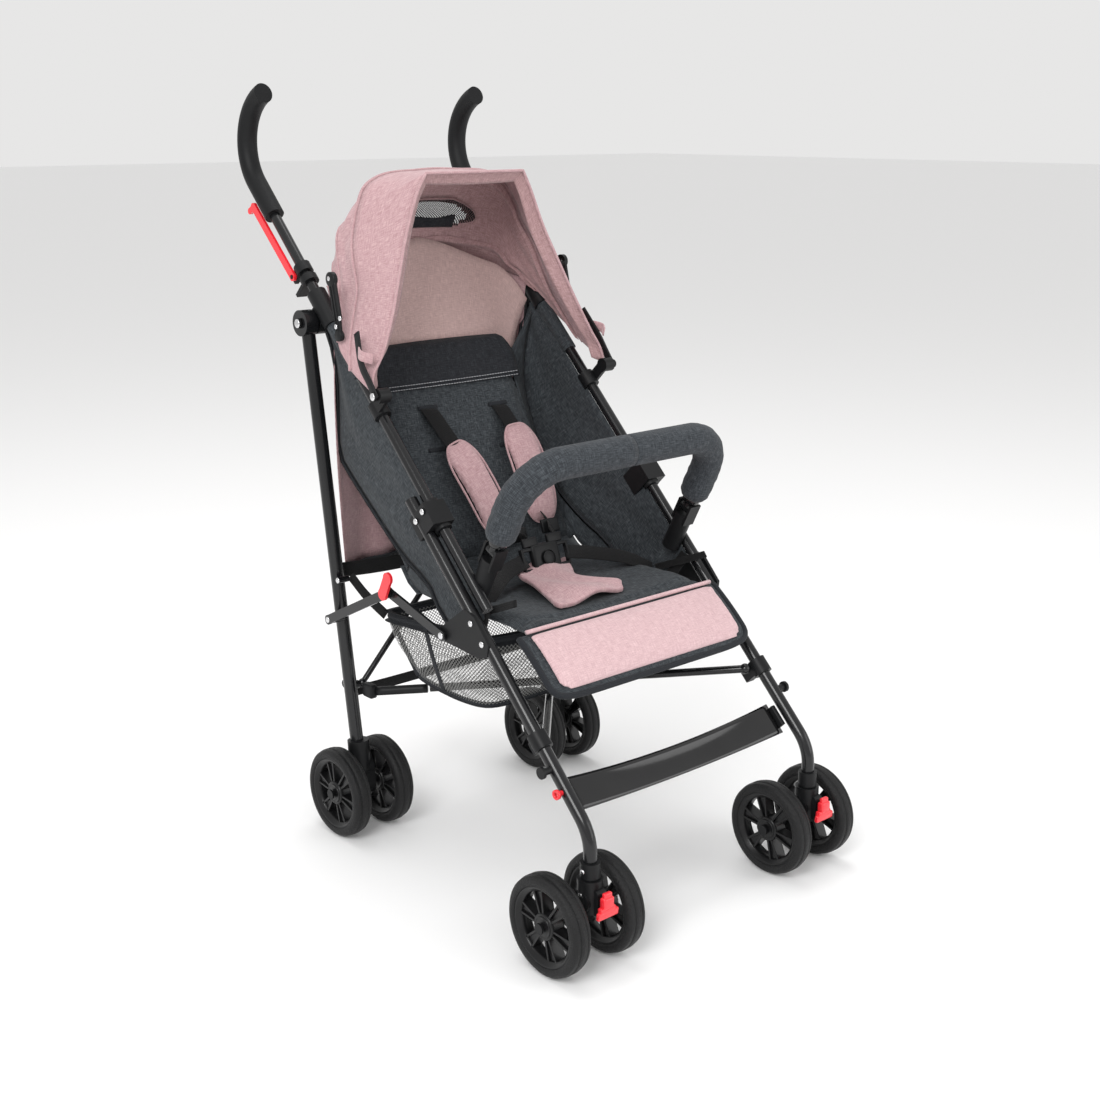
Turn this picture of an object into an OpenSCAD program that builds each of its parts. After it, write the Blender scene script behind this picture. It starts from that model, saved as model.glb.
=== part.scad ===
// Umbrella-fold baby stroller. Millimetres, +Z up, front of the stroller towards -Y.
// The origin is on the floor, under the middle of the whole stroller.
// Side parts are drawn once, on the left (+X), and mirrored for the right.

/* [Wheels] */
// Outer diameter of every wheel
wheel_d = 128; // [120:1:132]
// Width of a tyre
tyre_w = 29; // [24:1:32]
// Diameter of the axles
axle_d = 8; // [6:1:10]
// Middle of a front caster to the middle of the stroller
caster_x = 201; // [196:0.5:206]
// Caster middle to each of its two wheels
front_twin = 44.5; // [42:0.5:47]
// Rear leg foot to each of its two wheels
rear_twin = 36.5; // [35:0.5:40]

/* [Frame] */
// Side position of the handle tubes
tube_x = 188; // [184:1:190]
// Diameter of the handle tubes
tube_d = 15; // [14:0.5:16]
// Side position of the front legs
leg_x = 201; // [200:0.5:203]
// Diameter of the front legs
leg_d = 17; // [15:0.5:18]
// Diameter of the rear legs
rear_leg_d = 19; // [17:0.5:20]
// Diameter of the foam handle grips
grip_d = 28; // [25:1:30]

/* [Seat] */
// Width of the seat cushion
seat_w = 330; // [300:5:335]
// Width of the backrest cushion
back_w = 300; // [280:5:310]
// Thickness of both cushions
cushion_t = 23; // [18:1:26]
// Recline of the backrest from upright, in degrees
back_angle = 24; // [20:0.5:26]
// Diameter of the foam on the bumper bar
foam_d = 40; // [34:1:42]

/* [Hidden] */
$fn = 48;
fit = 0.1;            // gap round a tube in its fitting
wheel_r = wheel_d / 2;

// The handle tube and the front leg both slope at 45 degrees: y = z - offset
tube_off = 552.5;
leg_off = 531.5;
function on_tube(z) = [z - tube_off, z];
function on_leg(z) = [z - leg_off, z];

// Side view points, [y, z]
fold_pivot = [217, 731];       // rear leg to top joint
fold_foot_z = 750.25;          // height of the tube beside the fold pivot
bend_r = 75;                   // handle curve
swivel_y = -357;               // caster swivel axis
front_axle = [-333.5, wheel_r];
rear_axle = [151.5, wheel_r];
leg_bend_r = 60;
leg_bend_c = [swivel_y + leg_bend_r, swivel_y + leg_bend_r + leg_off - 2 * leg_bend_r * cos(45)];
bow_pivot = [49.5, 651];
link_front = [-88, 359];       // side link to the leg plate
link_knee = [26, 390];
link_rear = [169, 318];        // side link to the rear leg
link_x = 213;                  // plane of the side links
rear_x_top = 205;
rear_x_low = 184;
bumper_x = 174;
bumper_low = [-120, 411];
bumper_top = [-148, 477];
cross_front = [-250, 252];     // seat cross bars, front ends
cross_rear = [124, 199];       // seat cross bars, rear ends
back_hinge = [62, 388];        // crease between seat and backrest

module to_side(s) { if (s < 0) mirror([1, 0, 0]) children(); else children(); }
// Draws a [y, z] outline and extrudes it along +X from x
module yz(x) { translate([x, 0, 0]) rotate([90, 0, 90]) children(); }
// A round bar between two points
module rod(p, q, d) {
    v = q - p;
    translate(p) rotate([0, acos(v.z / norm(v)), atan2(v.y, v.x)]) cylinder(d = d, h = norm(v));
}
function at(x, p) = [x, p[0], p[1]];
module side_rod(x, p, q, d) { rod(at(x, p), at(x, q), d); }
// Pin along X between two x positions
module pin(x0, x1, p, d) { translate([x0, p[0], p[1]]) rotate([0, 90, 0]) cylinder(d = d, h = x1 - x0); }
// A flat link with round ends
module link2d(p, q, w) {
    v = q - p;
    translate(p) circle(d = w);
    translate(q) circle(d = w);
    translate(p) rotate(atan2(v[1], v[0])) translate([0, -0.46 * w]) square([norm(v), 0.92 * w]);
}
module plate(x, t) { yz(x) linear_extrude(t) children(); }
// Local frame on the handle tube: +Z runs up the tube, +Y is behind and below it
module along_tube(z) { translate([tube_x, z - tube_off, z]) rotate([-45, 0, 0]) children(); }
module along_leg(z) { translate([leg_x, z - leg_off, z]) rotate([-45, 0, 0]) children(); }
// Local frame on the backrest: +Z runs up it, -Y is towards the child
module on_back() { translate([0, back_hinge[0], back_hinge[1]]) rotate([-back_angle, 0, 0]) children(); }
module block(x, y, z) { translate([x[0], y[0], z[0]]) cube([x[1] - x[0], y[1] - y[0], z[1] - z[0]]); }

// ---- handle tube, grip and front leg ----
tube_run = 724;       // straight part of the handle tube
grip_start = 662;
handle_turn = 115;
leg_run = 466;        // straight part of the front leg
leg_tangent = [swivel_y + leg_bend_r * (1 - cos(45)), 0];
// An arc in the side plane that carries a bar on from its end
module arc(r, angle, d) {
    rotate([90, 0, 90]) rotate_extrude(angle = angle) translate([r, 0]) circle(d = d);
}
module straight_tube(d) { along_tube(402) cylinder(d = d, h = tube_run); }
module handle_tube(s) {
    color("#17191b") to_side(s) along_tube(402) {
        cylinder(d = tube_d, h = tube_run);
        translate([0, -bend_r, tube_run]) arc(bend_r, handle_turn - 6, tube_d);
    }
}
module handle_grip(s) {
    color("#101112") to_side(s) along_tube(402) difference() {
        union() {
            translate([0, 0, grip_start]) cylinder(d = grip_d, h = tube_run - grip_start);
            translate([0, -bend_r, tube_run]) arc(bend_r, handle_turn, grip_d);
        }
        union() {
            translate([0, 0, grip_start - 5]) cylinder(d = tube_d + 2 * fit, h = tube_run - grip_start + 5);
            translate([0, -bend_r, tube_run]) arc(bend_r, handle_turn - 5.5, tube_d + 2 * fit);
        }
    }
}
module leg_frame() {
    translate([leg_x, leg_tangent[0], leg_tangent[0] + leg_off]) rotate([-45, 0, 0]) children();
}
module straight_leg(d) { leg_frame() cylinder(d = d, h = leg_run); }
module front_leg(s) {
    color("#17191b") to_side(s) {
        leg_frame() {
            cylinder(d = leg_d, h = leg_run);
            translate([0, leg_bend_r, 0]) rotate([180, 0, 0]) arc(leg_bend_r, 45, leg_d);
        }
        side_rod(leg_x, [swivel_y, leg_bend_c[1]], [swivel_y, 122], leg_d);
        side_rod(leg_x, [swivel_y, 123], [swivel_y, 80], 10);
    }
}

// ---- top joint: holds the handle tube and carries the rear leg ----
module top_joint(s) {
    color("#0f1011") to_side(s) {
        difference() {
            union() {
                along_tube(fold_foot_z) translate([0, 0, -30]) cylinder(d = 27, h = 58);
                along_tube(fold_foot_z) block([-11, 7], [2, 25], [-14, 14]);
                pin(tube_x - 12, tube_x + 6.4, fold_pivot, 34);
                // pivot pin and its rivet head
                pin(tube_x + 5, 219.5, fold_pivot, 8);
                pin(218, 221, fold_pivot, 14);
            }
            straight_tube(tube_d + 2 * fit);
        }
        // sliding collar with its thumb tab
        difference() {
            union() {
                along_tube(783) cylinder(d = 25, h = 10);
                along_tube(783) block([-8, 8], [9, 32], [2, 7]);
            }
            straight_tube(tube_d + 2 * fit);
        }
        // bracket and pin of the carry latch
        if (s < 0) difference() {
            along_tube(800.25) union() {
                translate([0, 0, -7]) cylinder(d = 24, h = 14);
                block([2, 8.6], [0, 22], [-7, 7]);
                translate([4, 14.5, 0]) rotate([0, 90, 0]) cylinder(d = 6, h = 10);
            }
            straight_tube(tube_d + 2 * fit);
        }
    }
}

// ---- clamps and brackets riveted to the handle tube ----
module tube_fittings(s) {
    color("#0f1011") to_side(s) {
        // middle joint: locks the handle tube to the front leg
        difference() {
            union() {
                along_tube(505) block([-13, 21], [-13, 28], [-17, 17]);
                along_tube(505) translate([0, 0, -22]) cylinder(d = 23, h = 44);
                pin(tube_x + 20, 210.5, [-46, 514], 9);
                pin(tube_x + 20, 210.5, [-31.6, 498.4], 9);
            }
            straight_tube(tube_d + 2 * fit);
            straight_leg(leg_d + 2 * fit);
        }
        // bracket that carries the front bow of the canopy
        difference() {
            union() {
                along_tube(626.5) translate([0, 0, -11]) cylinder(d = 24, h = 22);
                along_tube(626.5) block([4.5, 10], [-33, -3], [-8, 8]);
                pin(tube_x + 4, 209.4, bow_pivot, 20);
                pin(tube_x + 10, 214, bow_pivot, 6);
                pin(213.4, 216, bow_pivot, 12);
            }
            straight_tube(tube_d + 2 * fit);
        }
        // socket of the bumper bar, with two cheeks round the end of the bar
        difference() {
            bumper_plane() translate([bumper_x, 0, 0]) union() {
                translate([0, -70, 0]) rotate([-90, 0, 0]) cylinder(d = 26, h = 58);
                for (z = [-13, 9.4]) translate([-10, -24, z]) cube([20, 33, 3.6]);
                translate([0, 0, -12]) cylinder(d = 6, h = 24);
            }
            straight_tube(tube_d + 2 * fit);
        }
    }
}
// ---- clamps and brackets riveted to the front leg ----
module leg_fittings(s) {
    color("#0f1011") to_side(s) {
        // plate for the side link
        difference() {
            union() {
                plate(206, 4.4) polygon([[-78, 352], [-78, 366], [-130, 404], [-150, 398],
                    [-178, 368], [-176, 352], [-160, 346]]);
                pin(210, 216, link_front, 7);
                pin(208, 210.8, on_leg(366), 9);
                pin(208, 210.8, on_leg(388), 9);
            }
            straight_leg(leg_d + 2 * fit);
        }
        // clamp for the seat cross bar
        difference() {
            union() {
                along_leg(266) translate([0, 0, -11]) cylinder(d = 25, h = 22);
                along_leg(266) block([-14, 0], [0, 24], [-9, 9]);
            }
            straight_leg(leg_d + 2 * fit);
        }
        // cap on the lower end of the leg
        difference() {
            side_rod(leg_x, [swivel_y, 141], [swivel_y, 121], 25);
            side_rod(leg_x, [swivel_y, 150], [swivel_y, 110], leg_d + 2 * fit);
        }
        // button that the carry latch hooks on
        difference() {
            along_leg(239) translate([4, 0, 0]) rotate([0, 90, 0]) union() {
                cylinder(d = 9, h = 15);
                translate([0, 0, 15]) cylinder(d = 15, h = 4);
            }
            straight_leg(leg_d + 2 * fit);
        }
    }
}

// ---- red carry latch on the right handle ----
latch_pivot = [258, 790];
latch_tip = [353.6, 881];
module carry_latch() {
    color("#e22028") to_side(-1) {
        difference() {
            plate(tube_x + 9, 4) union() {
                link2d(latch_pivot, latch_tip, 12);
                link2d(latch_tip + [-1, 1], latch_tip + [10, -6], 9);
            }
            pin(tube_x, tube_x + 20, latch_pivot, 6.12);
        }
    }
}

// ---- rear leg with its pivot disc ----
function rear_leg_at(z) = let(t = (fold_pivot[1] - z) / (fold_pivot[1] - 100))
    [rear_x_top + (rear_x_low - rear_x_top) * t, fold_pivot[0] + (155 - fold_pivot[0]) * t, z];
module rear_leg_rod(d) { rod(rear_leg_at(719), rear_leg_at(100), d); }
module rear_leg(s) {
    color("#17191b") to_side(s) {
        difference() {
            union() {
                pin(tube_x + 10, 217, fold_pivot, 36);
                rear_leg_rod(rear_leg_d);
            }
            pin(190, 230, fold_pivot, 8.1);
        }
        // spacer and rivet for the side link, and the rivets along the leg
        pin(196, 216, link_rear, 13);
        pin(190, 207, [160, 375], 9);
        // stubs that the rear cross bars hang on
        for (y = [166, 179]) pin(174.2, 190, [y, 212], 12);
    }
}

// ---- rear axle housing ----
rear_foot = rear_leg_at(100);
module rear_axle_housing(s) {
    color("#0f1011") to_side(s) {
        difference() {
            union() {
                side_rod(rear_x_low, [rear_foot[1] + 1.5, 132], [rear_foot[1] - 2, 88], 31);
                plate(rear_x_low - 16, 32) link2d([rear_foot[1] - 1, 90], rear_axle, 30);
                pin(rear_x_low - 14, rear_x_low + 14, [182, 70], 14);
                plate(rear_x_low - 9, 18) link2d(rear_axle, [182, 70], 12);
            }
            rear_leg_rod(rear_leg_d + 2 * fit);
            pin(rear_x_low - 60, rear_x_low + 60, rear_axle, axle_d);
            pin(rear_x_low - 20, rear_x_low + 20, [182, 70], 5.1);
        }
        pin(rear_x_low - 53, rear_x_low + 53, rear_axle, axle_d);
        for (e = [-1, 1]) translate([rear_x_low + e * 53, 0, 0]) pin(-1.2, 1.2, rear_axle, 14);
    }
}
// Foot brake pedal, hinged behind the housing
module brake_lever(s) {
    color("#e22028") to_side(s) {
        difference() {
            union() {
                pin(rear_x_low - 19.5, rear_x_low - 15, [182, 70], 13);
                pin(rear_x_low + 15, rear_x_low + 19.5, [182, 70], 13);
                for (x = [-19.5, 15]) plate(rear_x_low + x, 4.5) link2d([182, 70], [203, 78], 9);
                plate(rear_x_low - 19, 38) link2d([202, 78], [224, 86], 8);
            }
        }
        pin(rear_x_low - 16, rear_x_low + 16, [182, 70], 5);
    }
}

// ---- front caster ----
module caster_fork(s) {
    color("#0f1011") to_side(s) {
        difference() {
            union() {
                translate([caster_x, swivel_y, 78]) cylinder(d = 32, h = 42);
                plate(caster_x - 15, 30) link2d([swivel_y + 2, 92], front_axle, 29);
                plate(caster_x - 7, 14) link2d([swivel_y - 16, 104], [swivel_y - 16, 84], 12);
            }
            translate([leg_x, swivel_y, 76]) cylinder(d = 10.1, h = 60);
            pin(caster_x - 70, caster_x + 70, front_axle, axle_d);
        }
        pin(caster_x - 61, caster_x + 61, front_axle, axle_d);
        for (e = [-1, 1]) translate([caster_x + e * 61, 0, 0]) pin(-1.2, 1.2, front_axle, 14);
    }
}
// Slider that stops the caster swivelling
module swivel_lock(s) {
    color("#e22028") to_side(s) {
        plate(caster_x - 10, 20) link2d([swivel_y - 28, 104], [swivel_y - 28, 84], 10);
        plate(caster_x - 16, 32) link2d([swivel_y - 27, 92], [swivel_y - 31, 86], 8);
    }
}

// ---- wheels ----
module wheel(x, c) {
    rim_r = wheel_r - 11;
    translate([x, c[0], c[1]]) rotate([0, 90, 0]) {
        // tyre
        color("#1b1b1c") rotate_extrude() intersection() {
            translate([wheel_r - 12, 0]) scale(1) circle(r = tyre_w / 2 + 1.5);
            translate([rim_r, -tyre_w / 2]) square([wheel_r - rim_r, tyre_w]);
        }
        // rim, hub and six spokes
        color("#0c0d0e") difference() {
            union() {
                difference() {
                    translate([0, 0, -12]) cylinder(r = rim_r, h = 24);
                    translate([0, 0, -13]) cylinder(r = rim_r - 6, h = 26);
                }
                translate([0, 0, -14]) cylinder(d = 25, h = 28);
                for (k = [0:5]) rotate([0, 0, k * 60])
                    translate([9, -5, -7]) cube([rim_r - 9 - 3, 10, 14]);
            }
            translate([0, 0, -20]) cylinder(d = axle_d + 0.12, h = 40);
        }
    }
}

// ---- side links, outside the legs ----
module side_link_front(s) {
    color("#17191b") to_side(s) difference() {
        plate(link_x - 1.5, 4) link2d(link_front, link_knee, 14);
        pin(200, 230, link_front, 7.12);
        pin(200, 230, link_knee, 6.12);
    }
}
module side_link_rear(s) {
    color("#17191b") to_side(s) {
        plate(link_x + 3.2, 4) link2d(link_knee, link_rear, 14);
        pin(link_x + 6, link_x + 9, link_knee, 10);
        pin(link_x - 2, link_x + 5, link_knee, 6);
    }
}
// Red tab that releases the side link
module lock_lever() {
    color("#e22028") to_side(-1)
        plate(link_x + 9.2, 4) link2d(link_knee, [14, 414], 17);
}

// ---- cross bars: one pair under the seat, one pair between the rear legs ----
cross_lift = [[0, 0, 0], [0, -8, 14]];  // keeps the two bars of a pair apart
module seat_cross(s) {
    lift = s < 0 ? cross_lift[0] : cross_lift[1];
    front = at(179, cross_front) + lift;
    rear = front + 0.87 * (at(-163, cross_rear) + lift - front);
    color("#1c1e20") to_side(s) rod(front, rear, 11);
    color("#0f1011") to_side(s) translate(front) sphere(d = 15);
}
rear_cross_low = [167, 179, 212];
rear_cross_top = [-158, 199, 536];
module rear_cross(s) {
    shift = s < 0 ? [0, -13, 0] : [0, 0, 0];
    color("#1c1e20") to_side(s) rod(rear_cross_low + shift, rear_cross_top + shift, 8.5);
    color("#0f1011") to_side(s) translate(rear_cross_low + shift) sphere(d = 13);
}

// ---- bumper bar: two halves, hinged in the middle ----
bumper_tilt = 27;                   // the bar leans forward by this much
bumper_reach = 127;                 // pivot to the middle of the bar
bumper_corner_r = 62;
bumper_gap = 6;                     // half of the gap at the middle hinge
// Draws in the plane of the bar: local X across, local Y up the bar
module bumper_plane() {
    translate([0, bumper_top[0], bumper_top[1]]) rotate([90 + bumper_tilt, 0, 0]) children();
}
module bumper_run(low) {
    r = bumper_corner_r;
    translate([bumper_x, low, 0]) rotate([-90, 0, 0]) children(0);
    translate([bumper_x - r, bumper_reach - r, 0]) children(1);
    translate([bumper_gap, bumper_reach, 0]) rotate([0, 90, 0]) children(2);
}
module pipe(d, hole, h) {
    linear_extrude(h) difference() { circle(d = d); circle(d = hole); }
}
module bumper_arm(s) {
    r = bumper_corner_r;
    color("#17191b") to_side(s) bumper_plane() difference() {
        union() {
            bumper_run(0) {
                cylinder(d = 17, h = bumper_reach - r);
                rotate_extrude(angle = 90) translate([r, 0]) circle(d = 17);
                cylinder(d = 17, h = bumper_x - r - bumper_gap);
            }
            translate([bumper_x, 0, -8.5]) cylinder(d = 17, h = 17);
        }
        translate([bumper_x, 0, -12]) cylinder(d = 6.12, h = 24);
    }
}
module bumper_pad(s) {
    r = bumper_corner_r;
    color("#3e4348") to_side(s) bumper_plane() bumper_run(22) {
        pipe(foam_d, 17.2, bumper_reach - r - 22);
        rotate_extrude(angle = 90) translate([r, 0]) difference() {
            circle(d = foam_d);
            circle(d = 17.2);
        }
        pipe(foam_d, 17.2, bumper_x - r - bumper_gap);
    }
}

// ---- seat ----
module seat_cushion() {
    color("#3e4348") difference() {
        block([-seat_w / 2, seat_w / 2], [-196, 54], [383 - cushion_t, 383]);
        // sewn channel behind the front edge
        block([-seat_w, seat_w], [-148, -144], [380, 390]);
    }
}
module backrest_cushion() {
    color("#33373c") on_back() block([-back_w / 2, back_w / 2], [0, cushion_t], [8, 326]);
}
module side_panel(s) {
    color("#3e4348") to_side(s) plate(167, 5) polygon([
        [110, 632], [156, 632], [186, 592], [188, 515], [55, 418], [-6, 398],
        [-26, 352], [-88, 346], [-88, 434]]);
}
module leg_rest() {
    color("#d9b2b5") translate([0, -200, 381]) rotate([41, 0, 0])
        block([-166, 166], [-92, -10], [-14, 4]);
}
module crotch_pad() {
    color("#d0a0a6") block([-45, 45], [-138, -36], [384.5, 393]);
}
module shoulder_pads() {
    color("#d0a0a6") for (s = [-1, 1]) on_back()
        translate([s * 46, 0, 160]) rotate([0, -s * 12, 0]) block([-24, 24], [-18, -4], [-70, 70]);
}
module harness_straps() {
    color("#0d0e0f") for (s = [-1, 1]) {
        on_back() block([s * 62 - 12, s * 62 + 12], [-3, -1], [236, 270]);
        // across the hips
        rod([s * 30, -42, 412], [s * 158, -30, 394], 6);
        // from the pads to the buckle
        rod([s * 33, 76, 458], [s * 20, -30, 432], 6);
    }
}
buckle_c = [0, -44, 412];
module buckle() {
    color("#0c0d0e") translate(buckle_c) rotate([-20, 0, 0]) difference() {
        block([-27, 27], [-8, 8], [-15, 17]);
        translate([0, -4, 0]) rotate([90, 0, 0]) cylinder(d = 21, h = 10);
    }
}
module buckle_button() {
    color("#141516") translate(buckle_c) rotate([-20, 0, 0])
        translate([0, -7, 0]) rotate([90, 0, 0]) cylinder(d = 20, h = 4);
}
module footrest() {
    color("#0a0a0b") translate([0, -302, 208]) rotate([-45, 0, 0])
        block([-190, 190], [3, 6], [-21, 21]);
}

// ---- shopping basket: an open-topped bag ----
module basket() {
    color("#b9b9b4") difference() {
        block([-160, 160], [-108, 112], [258, 345]);
        block([-157, 157], [-105, 109], [261, 350]);
    }
}

// ---- canopy ----
// A section is a list of points from the middle out and down; the other half mirrors it.
visor_sections = [
     [[0, 100, 932], [20, 100, 932], [40, 100, 932], [58, 100, 932], [72, 100, 932],
      [85, 100, 932], [100, 101, 905], [120, 98, 855], [140, 88, 805], [160, 77, 755],
      [184, 68, 705], [203, 66, 675], [207, 60, 652]],
     [[0, 190, 932], [36, 190, 932], [70, 190, 931], [100, 189, 924], [126, 187, 909],
      [143, 183, 880], [150, 180, 858], [157, 173, 838], [163, 162, 815], [169, 147, 780],
      [181, 139, 745], [199, 123, 703], [209, 110, 678]]];
dome_sections = [
     [[0, 222, 893], [40, 221, 891], [78, 220, 886], [110, 218, 878], [134, 216, 868],
      [149, 214, 856], [154, 211, 845], [158, 206, 830], [163, 199, 811], [169, 189, 786],
      [177, 176, 762], [189, 156, 737], [203, 143, 712]],
     [[0, 243, 842], [42, 242, 840], [80, 240, 834], [112, 236, 828], [136, 232, 820],
      [150, 228, 810], [157, 222, 800], [162, 214, 790], [167, 206, 781], [171, 200, 773],
      [173, 191, 769], [175, 184, 765], [176, 180, 761]],
     [[0, 266, 800], [44, 265, 797], [84, 262, 792], [116, 255, 786], [140, 246, 782],
      [154, 238, 779], [160, 232, 777], [164, 226, 776], [167, 220, 775], [169, 214, 774],
      [171, 208, 773], [173, 202, 771], [175, 196, 768]],
     [[0, 262, 738], [44, 261, 737], [84, 257, 736], [116, 250, 735], [140, 240, 734],
      [152, 231, 733], [157, 225, 733], [160, 220, 733], [163, 215, 734], [165, 211, 736],
      [167, 207, 739], [169, 203, 744], [172, 199, 752]],
     [[0, 232, 374], [44, 231, 374], [84, 229, 374], [116, 225, 374], [138, 219, 374],
      [150, 213, 374], [156, 209, 374], [160, 206, 374], [163, 204, 374], [165, 202, 374],
      [166, 200, 374], [167, 199, 374], [168, 198, 374]]];
hood_middle = [0, 140, 760];
// The inner skin lies w towards the middle of the hood.
function inward(p, w) = let(d = [p[0], (p[1] - hood_middle[1]) * 0.3, p[2] - hood_middle[2]])
    p - d * (w / norm(d));
function mirrored(c) = concat([for (i = [len(c) - 1:-1:1]) [-c[i][0], c[i][1], c[i][2]]], c);
function between(a, b, t) = [for (i = [0:len(a) - 1]) a[i] + (b[i] - a[i]) * t];
// A cloth shell of thickness w that passes through all the sections
module shell(sections, w) {
    rows = [for (c = sections) mirrored(c)];
    n = len(rows[0]);
    m = len(rows);
    pts = [for (w0 = [0, w]) for (c = rows) for (p = c) inward(p, w0)];
    function id(l, j, i) = l * n * m + j * n + i;
    skin = [for (l = [0, 1]) for (j = [0:m - 2]) for (i = [0:n - 2])
        for (f = [[id(l, j, i), id(l, j + 1, i), id(l, j + 1, i + 1)],
                  [id(l, j, i), id(l, j + 1, i + 1), id(l, j, i + 1)]])
            l == 0 ? f : [f[2], f[1], f[0]]];
    ends = [for (j = [0, m - 1]) for (i = [0:n - 2])
        let(a = id(0, j, i), b = id(0, j, i + 1), c = id(1, j, i + 1), d = id(1, j, i))
        for (f = [[a, b, c], [a, c, d]]) j == 0 ? f : [f[2], f[1], f[0]]];
    feet = [for (i = [0, n - 1]) for (j = [0:m - 2])
        let(a = id(0, j, i), b = id(0, j + 1, i), c = id(1, j + 1, i), d = id(1, j, i))
        for (f = [[a, b, c], [a, c, d]]) i == 0 ? [f[2], f[1], f[0]] : f];
    polyhedron(points = pts, faces = concat(skin, ends, feet), convexity = 8);
}
module canopy_front() {
    color("#cda0a5") shell([visor_sections[0],
        between(visor_sections[0], visor_sections[1], 0.985)], 3);
}
// roof and, below its rear bow, the back cloth that hangs behind the backrest
module canopy_rear() {
    color("#c4979c") shell(concat(
        [between(visor_sections[1], dome_sections[0], 0.02)], dome_sections), 3);
}
module canopy_front_bow() {
    color("#141516") {
        for (s = [-1, 1]) to_side(s) {
            difference() {
                plate(209.6, 3.6) link2d(bow_pivot, [88, 700], 13);
                pin(190, 220, bow_pivot, 6.15);
            }
        }
    }
}
brace_pivot = [140, 742];
module canopy_braces() {
    color("#101112") for (s = [-1, 1]) to_side(s) plate(203.2, 4) union() {
        link2d(brace_pivot, [152, 794], 17);
        link2d(brace_pivot, [138, 720], 13);
    }
}

seat_cushion();
crotch_pad();
harness_straps();
buckle();
buckle_button();
leg_rest();
backrest_cushion();
shoulder_pads();
canopy_rear();
canopy_front();
canopy_front_bow();
canopy_braces();
basket();
footrest();
bumper_arm(-1);  // right_bumper_arm
bumper_arm(1);  // left_bumper_arm
bumper_pad(-1);  // right_bumper_pad
bumper_pad(1);  // left_bumper_pad
handle_tube(-1);  // right_handle_tube
handle_tube(1);  // left_handle_tube
handle_grip(-1);  // right_handle_grip
handle_grip(1);  // left_handle_grip
front_leg(-1);  // right_front_leg
front_leg(1);  // left_front_leg
top_joint(-1);  // right_top_joint
top_joint(1);  // left_top_joint
tube_fittings(-1);  // right_tube_fittings
tube_fittings(1);  // left_tube_fittings
leg_fittings(-1);  // right_leg_fittings
leg_fittings(1);  // left_leg_fittings
side_panel(-1);  // right_side_panel
side_panel(1);  // left_side_panel
rear_leg(-1);  // right_rear_leg
rear_leg(1);  // left_rear_leg
rear_axle_housing(-1);  // right_rear_axle_housing
rear_axle_housing(1);  // left_rear_axle_housing
brake_lever(-1);  // right_brake_lever
brake_lever(1);  // left_brake_lever
caster_fork(-1);  // right_caster_fork
caster_fork(1);  // left_caster_fork
swivel_lock(-1);  // right_swivel_lock
swivel_lock(1);  // left_swivel_lock
wheel(-caster_x - front_twin, front_axle);  // right_front_outer_wheel
wheel(-caster_x + front_twin, front_axle);  // right_front_inner_wheel
wheel(caster_x - front_twin, front_axle);  // left_front_inner_wheel
wheel(caster_x + front_twin, front_axle);  // left_front_outer_wheel
wheel(-rear_x_low - rear_twin, rear_axle);  // right_rear_outer_wheel
wheel(-rear_x_low + rear_twin, rear_axle);  // right_rear_inner_wheel
wheel(rear_x_low - rear_twin, rear_axle);  // left_rear_inner_wheel
wheel(rear_x_low + rear_twin, rear_axle);  // left_rear_outer_wheel
side_link_front(-1);  // right_link_front
side_link_front(1);  // left_link_front
side_link_rear(-1);  // right_link_rear
side_link_rear(1);  // left_link_rear
lock_lever();
seat_cross(-1);  // right_seat_cross
seat_cross(1);  // left_seat_cross
rear_cross(-1);  // right_rear_cross
rear_cross(1);  // left_rear_cross
carry_latch();
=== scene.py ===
import math
import bmesh
import bpy
import numpy as np
from mathutils import Vector, Matrix


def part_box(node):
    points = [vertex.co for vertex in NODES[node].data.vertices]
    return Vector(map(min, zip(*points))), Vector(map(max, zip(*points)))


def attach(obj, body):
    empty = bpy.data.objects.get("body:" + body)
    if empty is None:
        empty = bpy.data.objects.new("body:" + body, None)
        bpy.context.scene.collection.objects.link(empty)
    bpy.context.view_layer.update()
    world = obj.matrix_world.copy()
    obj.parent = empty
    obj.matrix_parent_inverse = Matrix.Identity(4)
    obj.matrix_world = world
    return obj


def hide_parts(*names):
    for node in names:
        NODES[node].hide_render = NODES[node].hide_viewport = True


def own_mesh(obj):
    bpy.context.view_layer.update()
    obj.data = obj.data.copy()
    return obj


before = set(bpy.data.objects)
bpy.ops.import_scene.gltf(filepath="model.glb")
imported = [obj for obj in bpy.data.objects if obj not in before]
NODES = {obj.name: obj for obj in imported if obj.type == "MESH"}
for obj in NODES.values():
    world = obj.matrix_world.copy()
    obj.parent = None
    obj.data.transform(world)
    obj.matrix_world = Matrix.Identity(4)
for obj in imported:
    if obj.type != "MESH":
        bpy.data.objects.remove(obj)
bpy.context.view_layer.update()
SIDES = (("right", "Right", -1), ("left", "Left", 1))

# ------------------------------------------------------------------ materials


def link(nt, a, b):
    nt.links.new(a, b)


def node(nt, kind, **inputs):
    n = nt.nodes.new(kind)
    for k, v in inputs.items():
        n.inputs[k].default_value = v
    return n


def material(name, color, rough, metal=0.0, coat=0.0, sheen=0.0, spec=0.5):
    m = bpy.data.materials.new(name)
    m.use_nodes = True
    b = m.node_tree.nodes["Principled BSDF"]
    b.inputs["Base Color"].default_value = (*color, 1)
    b.inputs["Roughness"].default_value = rough
    b.inputs["Metallic"].default_value = metal
    b.inputs["Coat Weight"].default_value = coat
    b.inputs["Coat Roughness"].default_value = 0.08
    b.inputs["Sheen Weight"].default_value = sheen
    b.inputs["Specular IOR Level"].default_value = spec
    return m, m.node_tree, b


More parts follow.
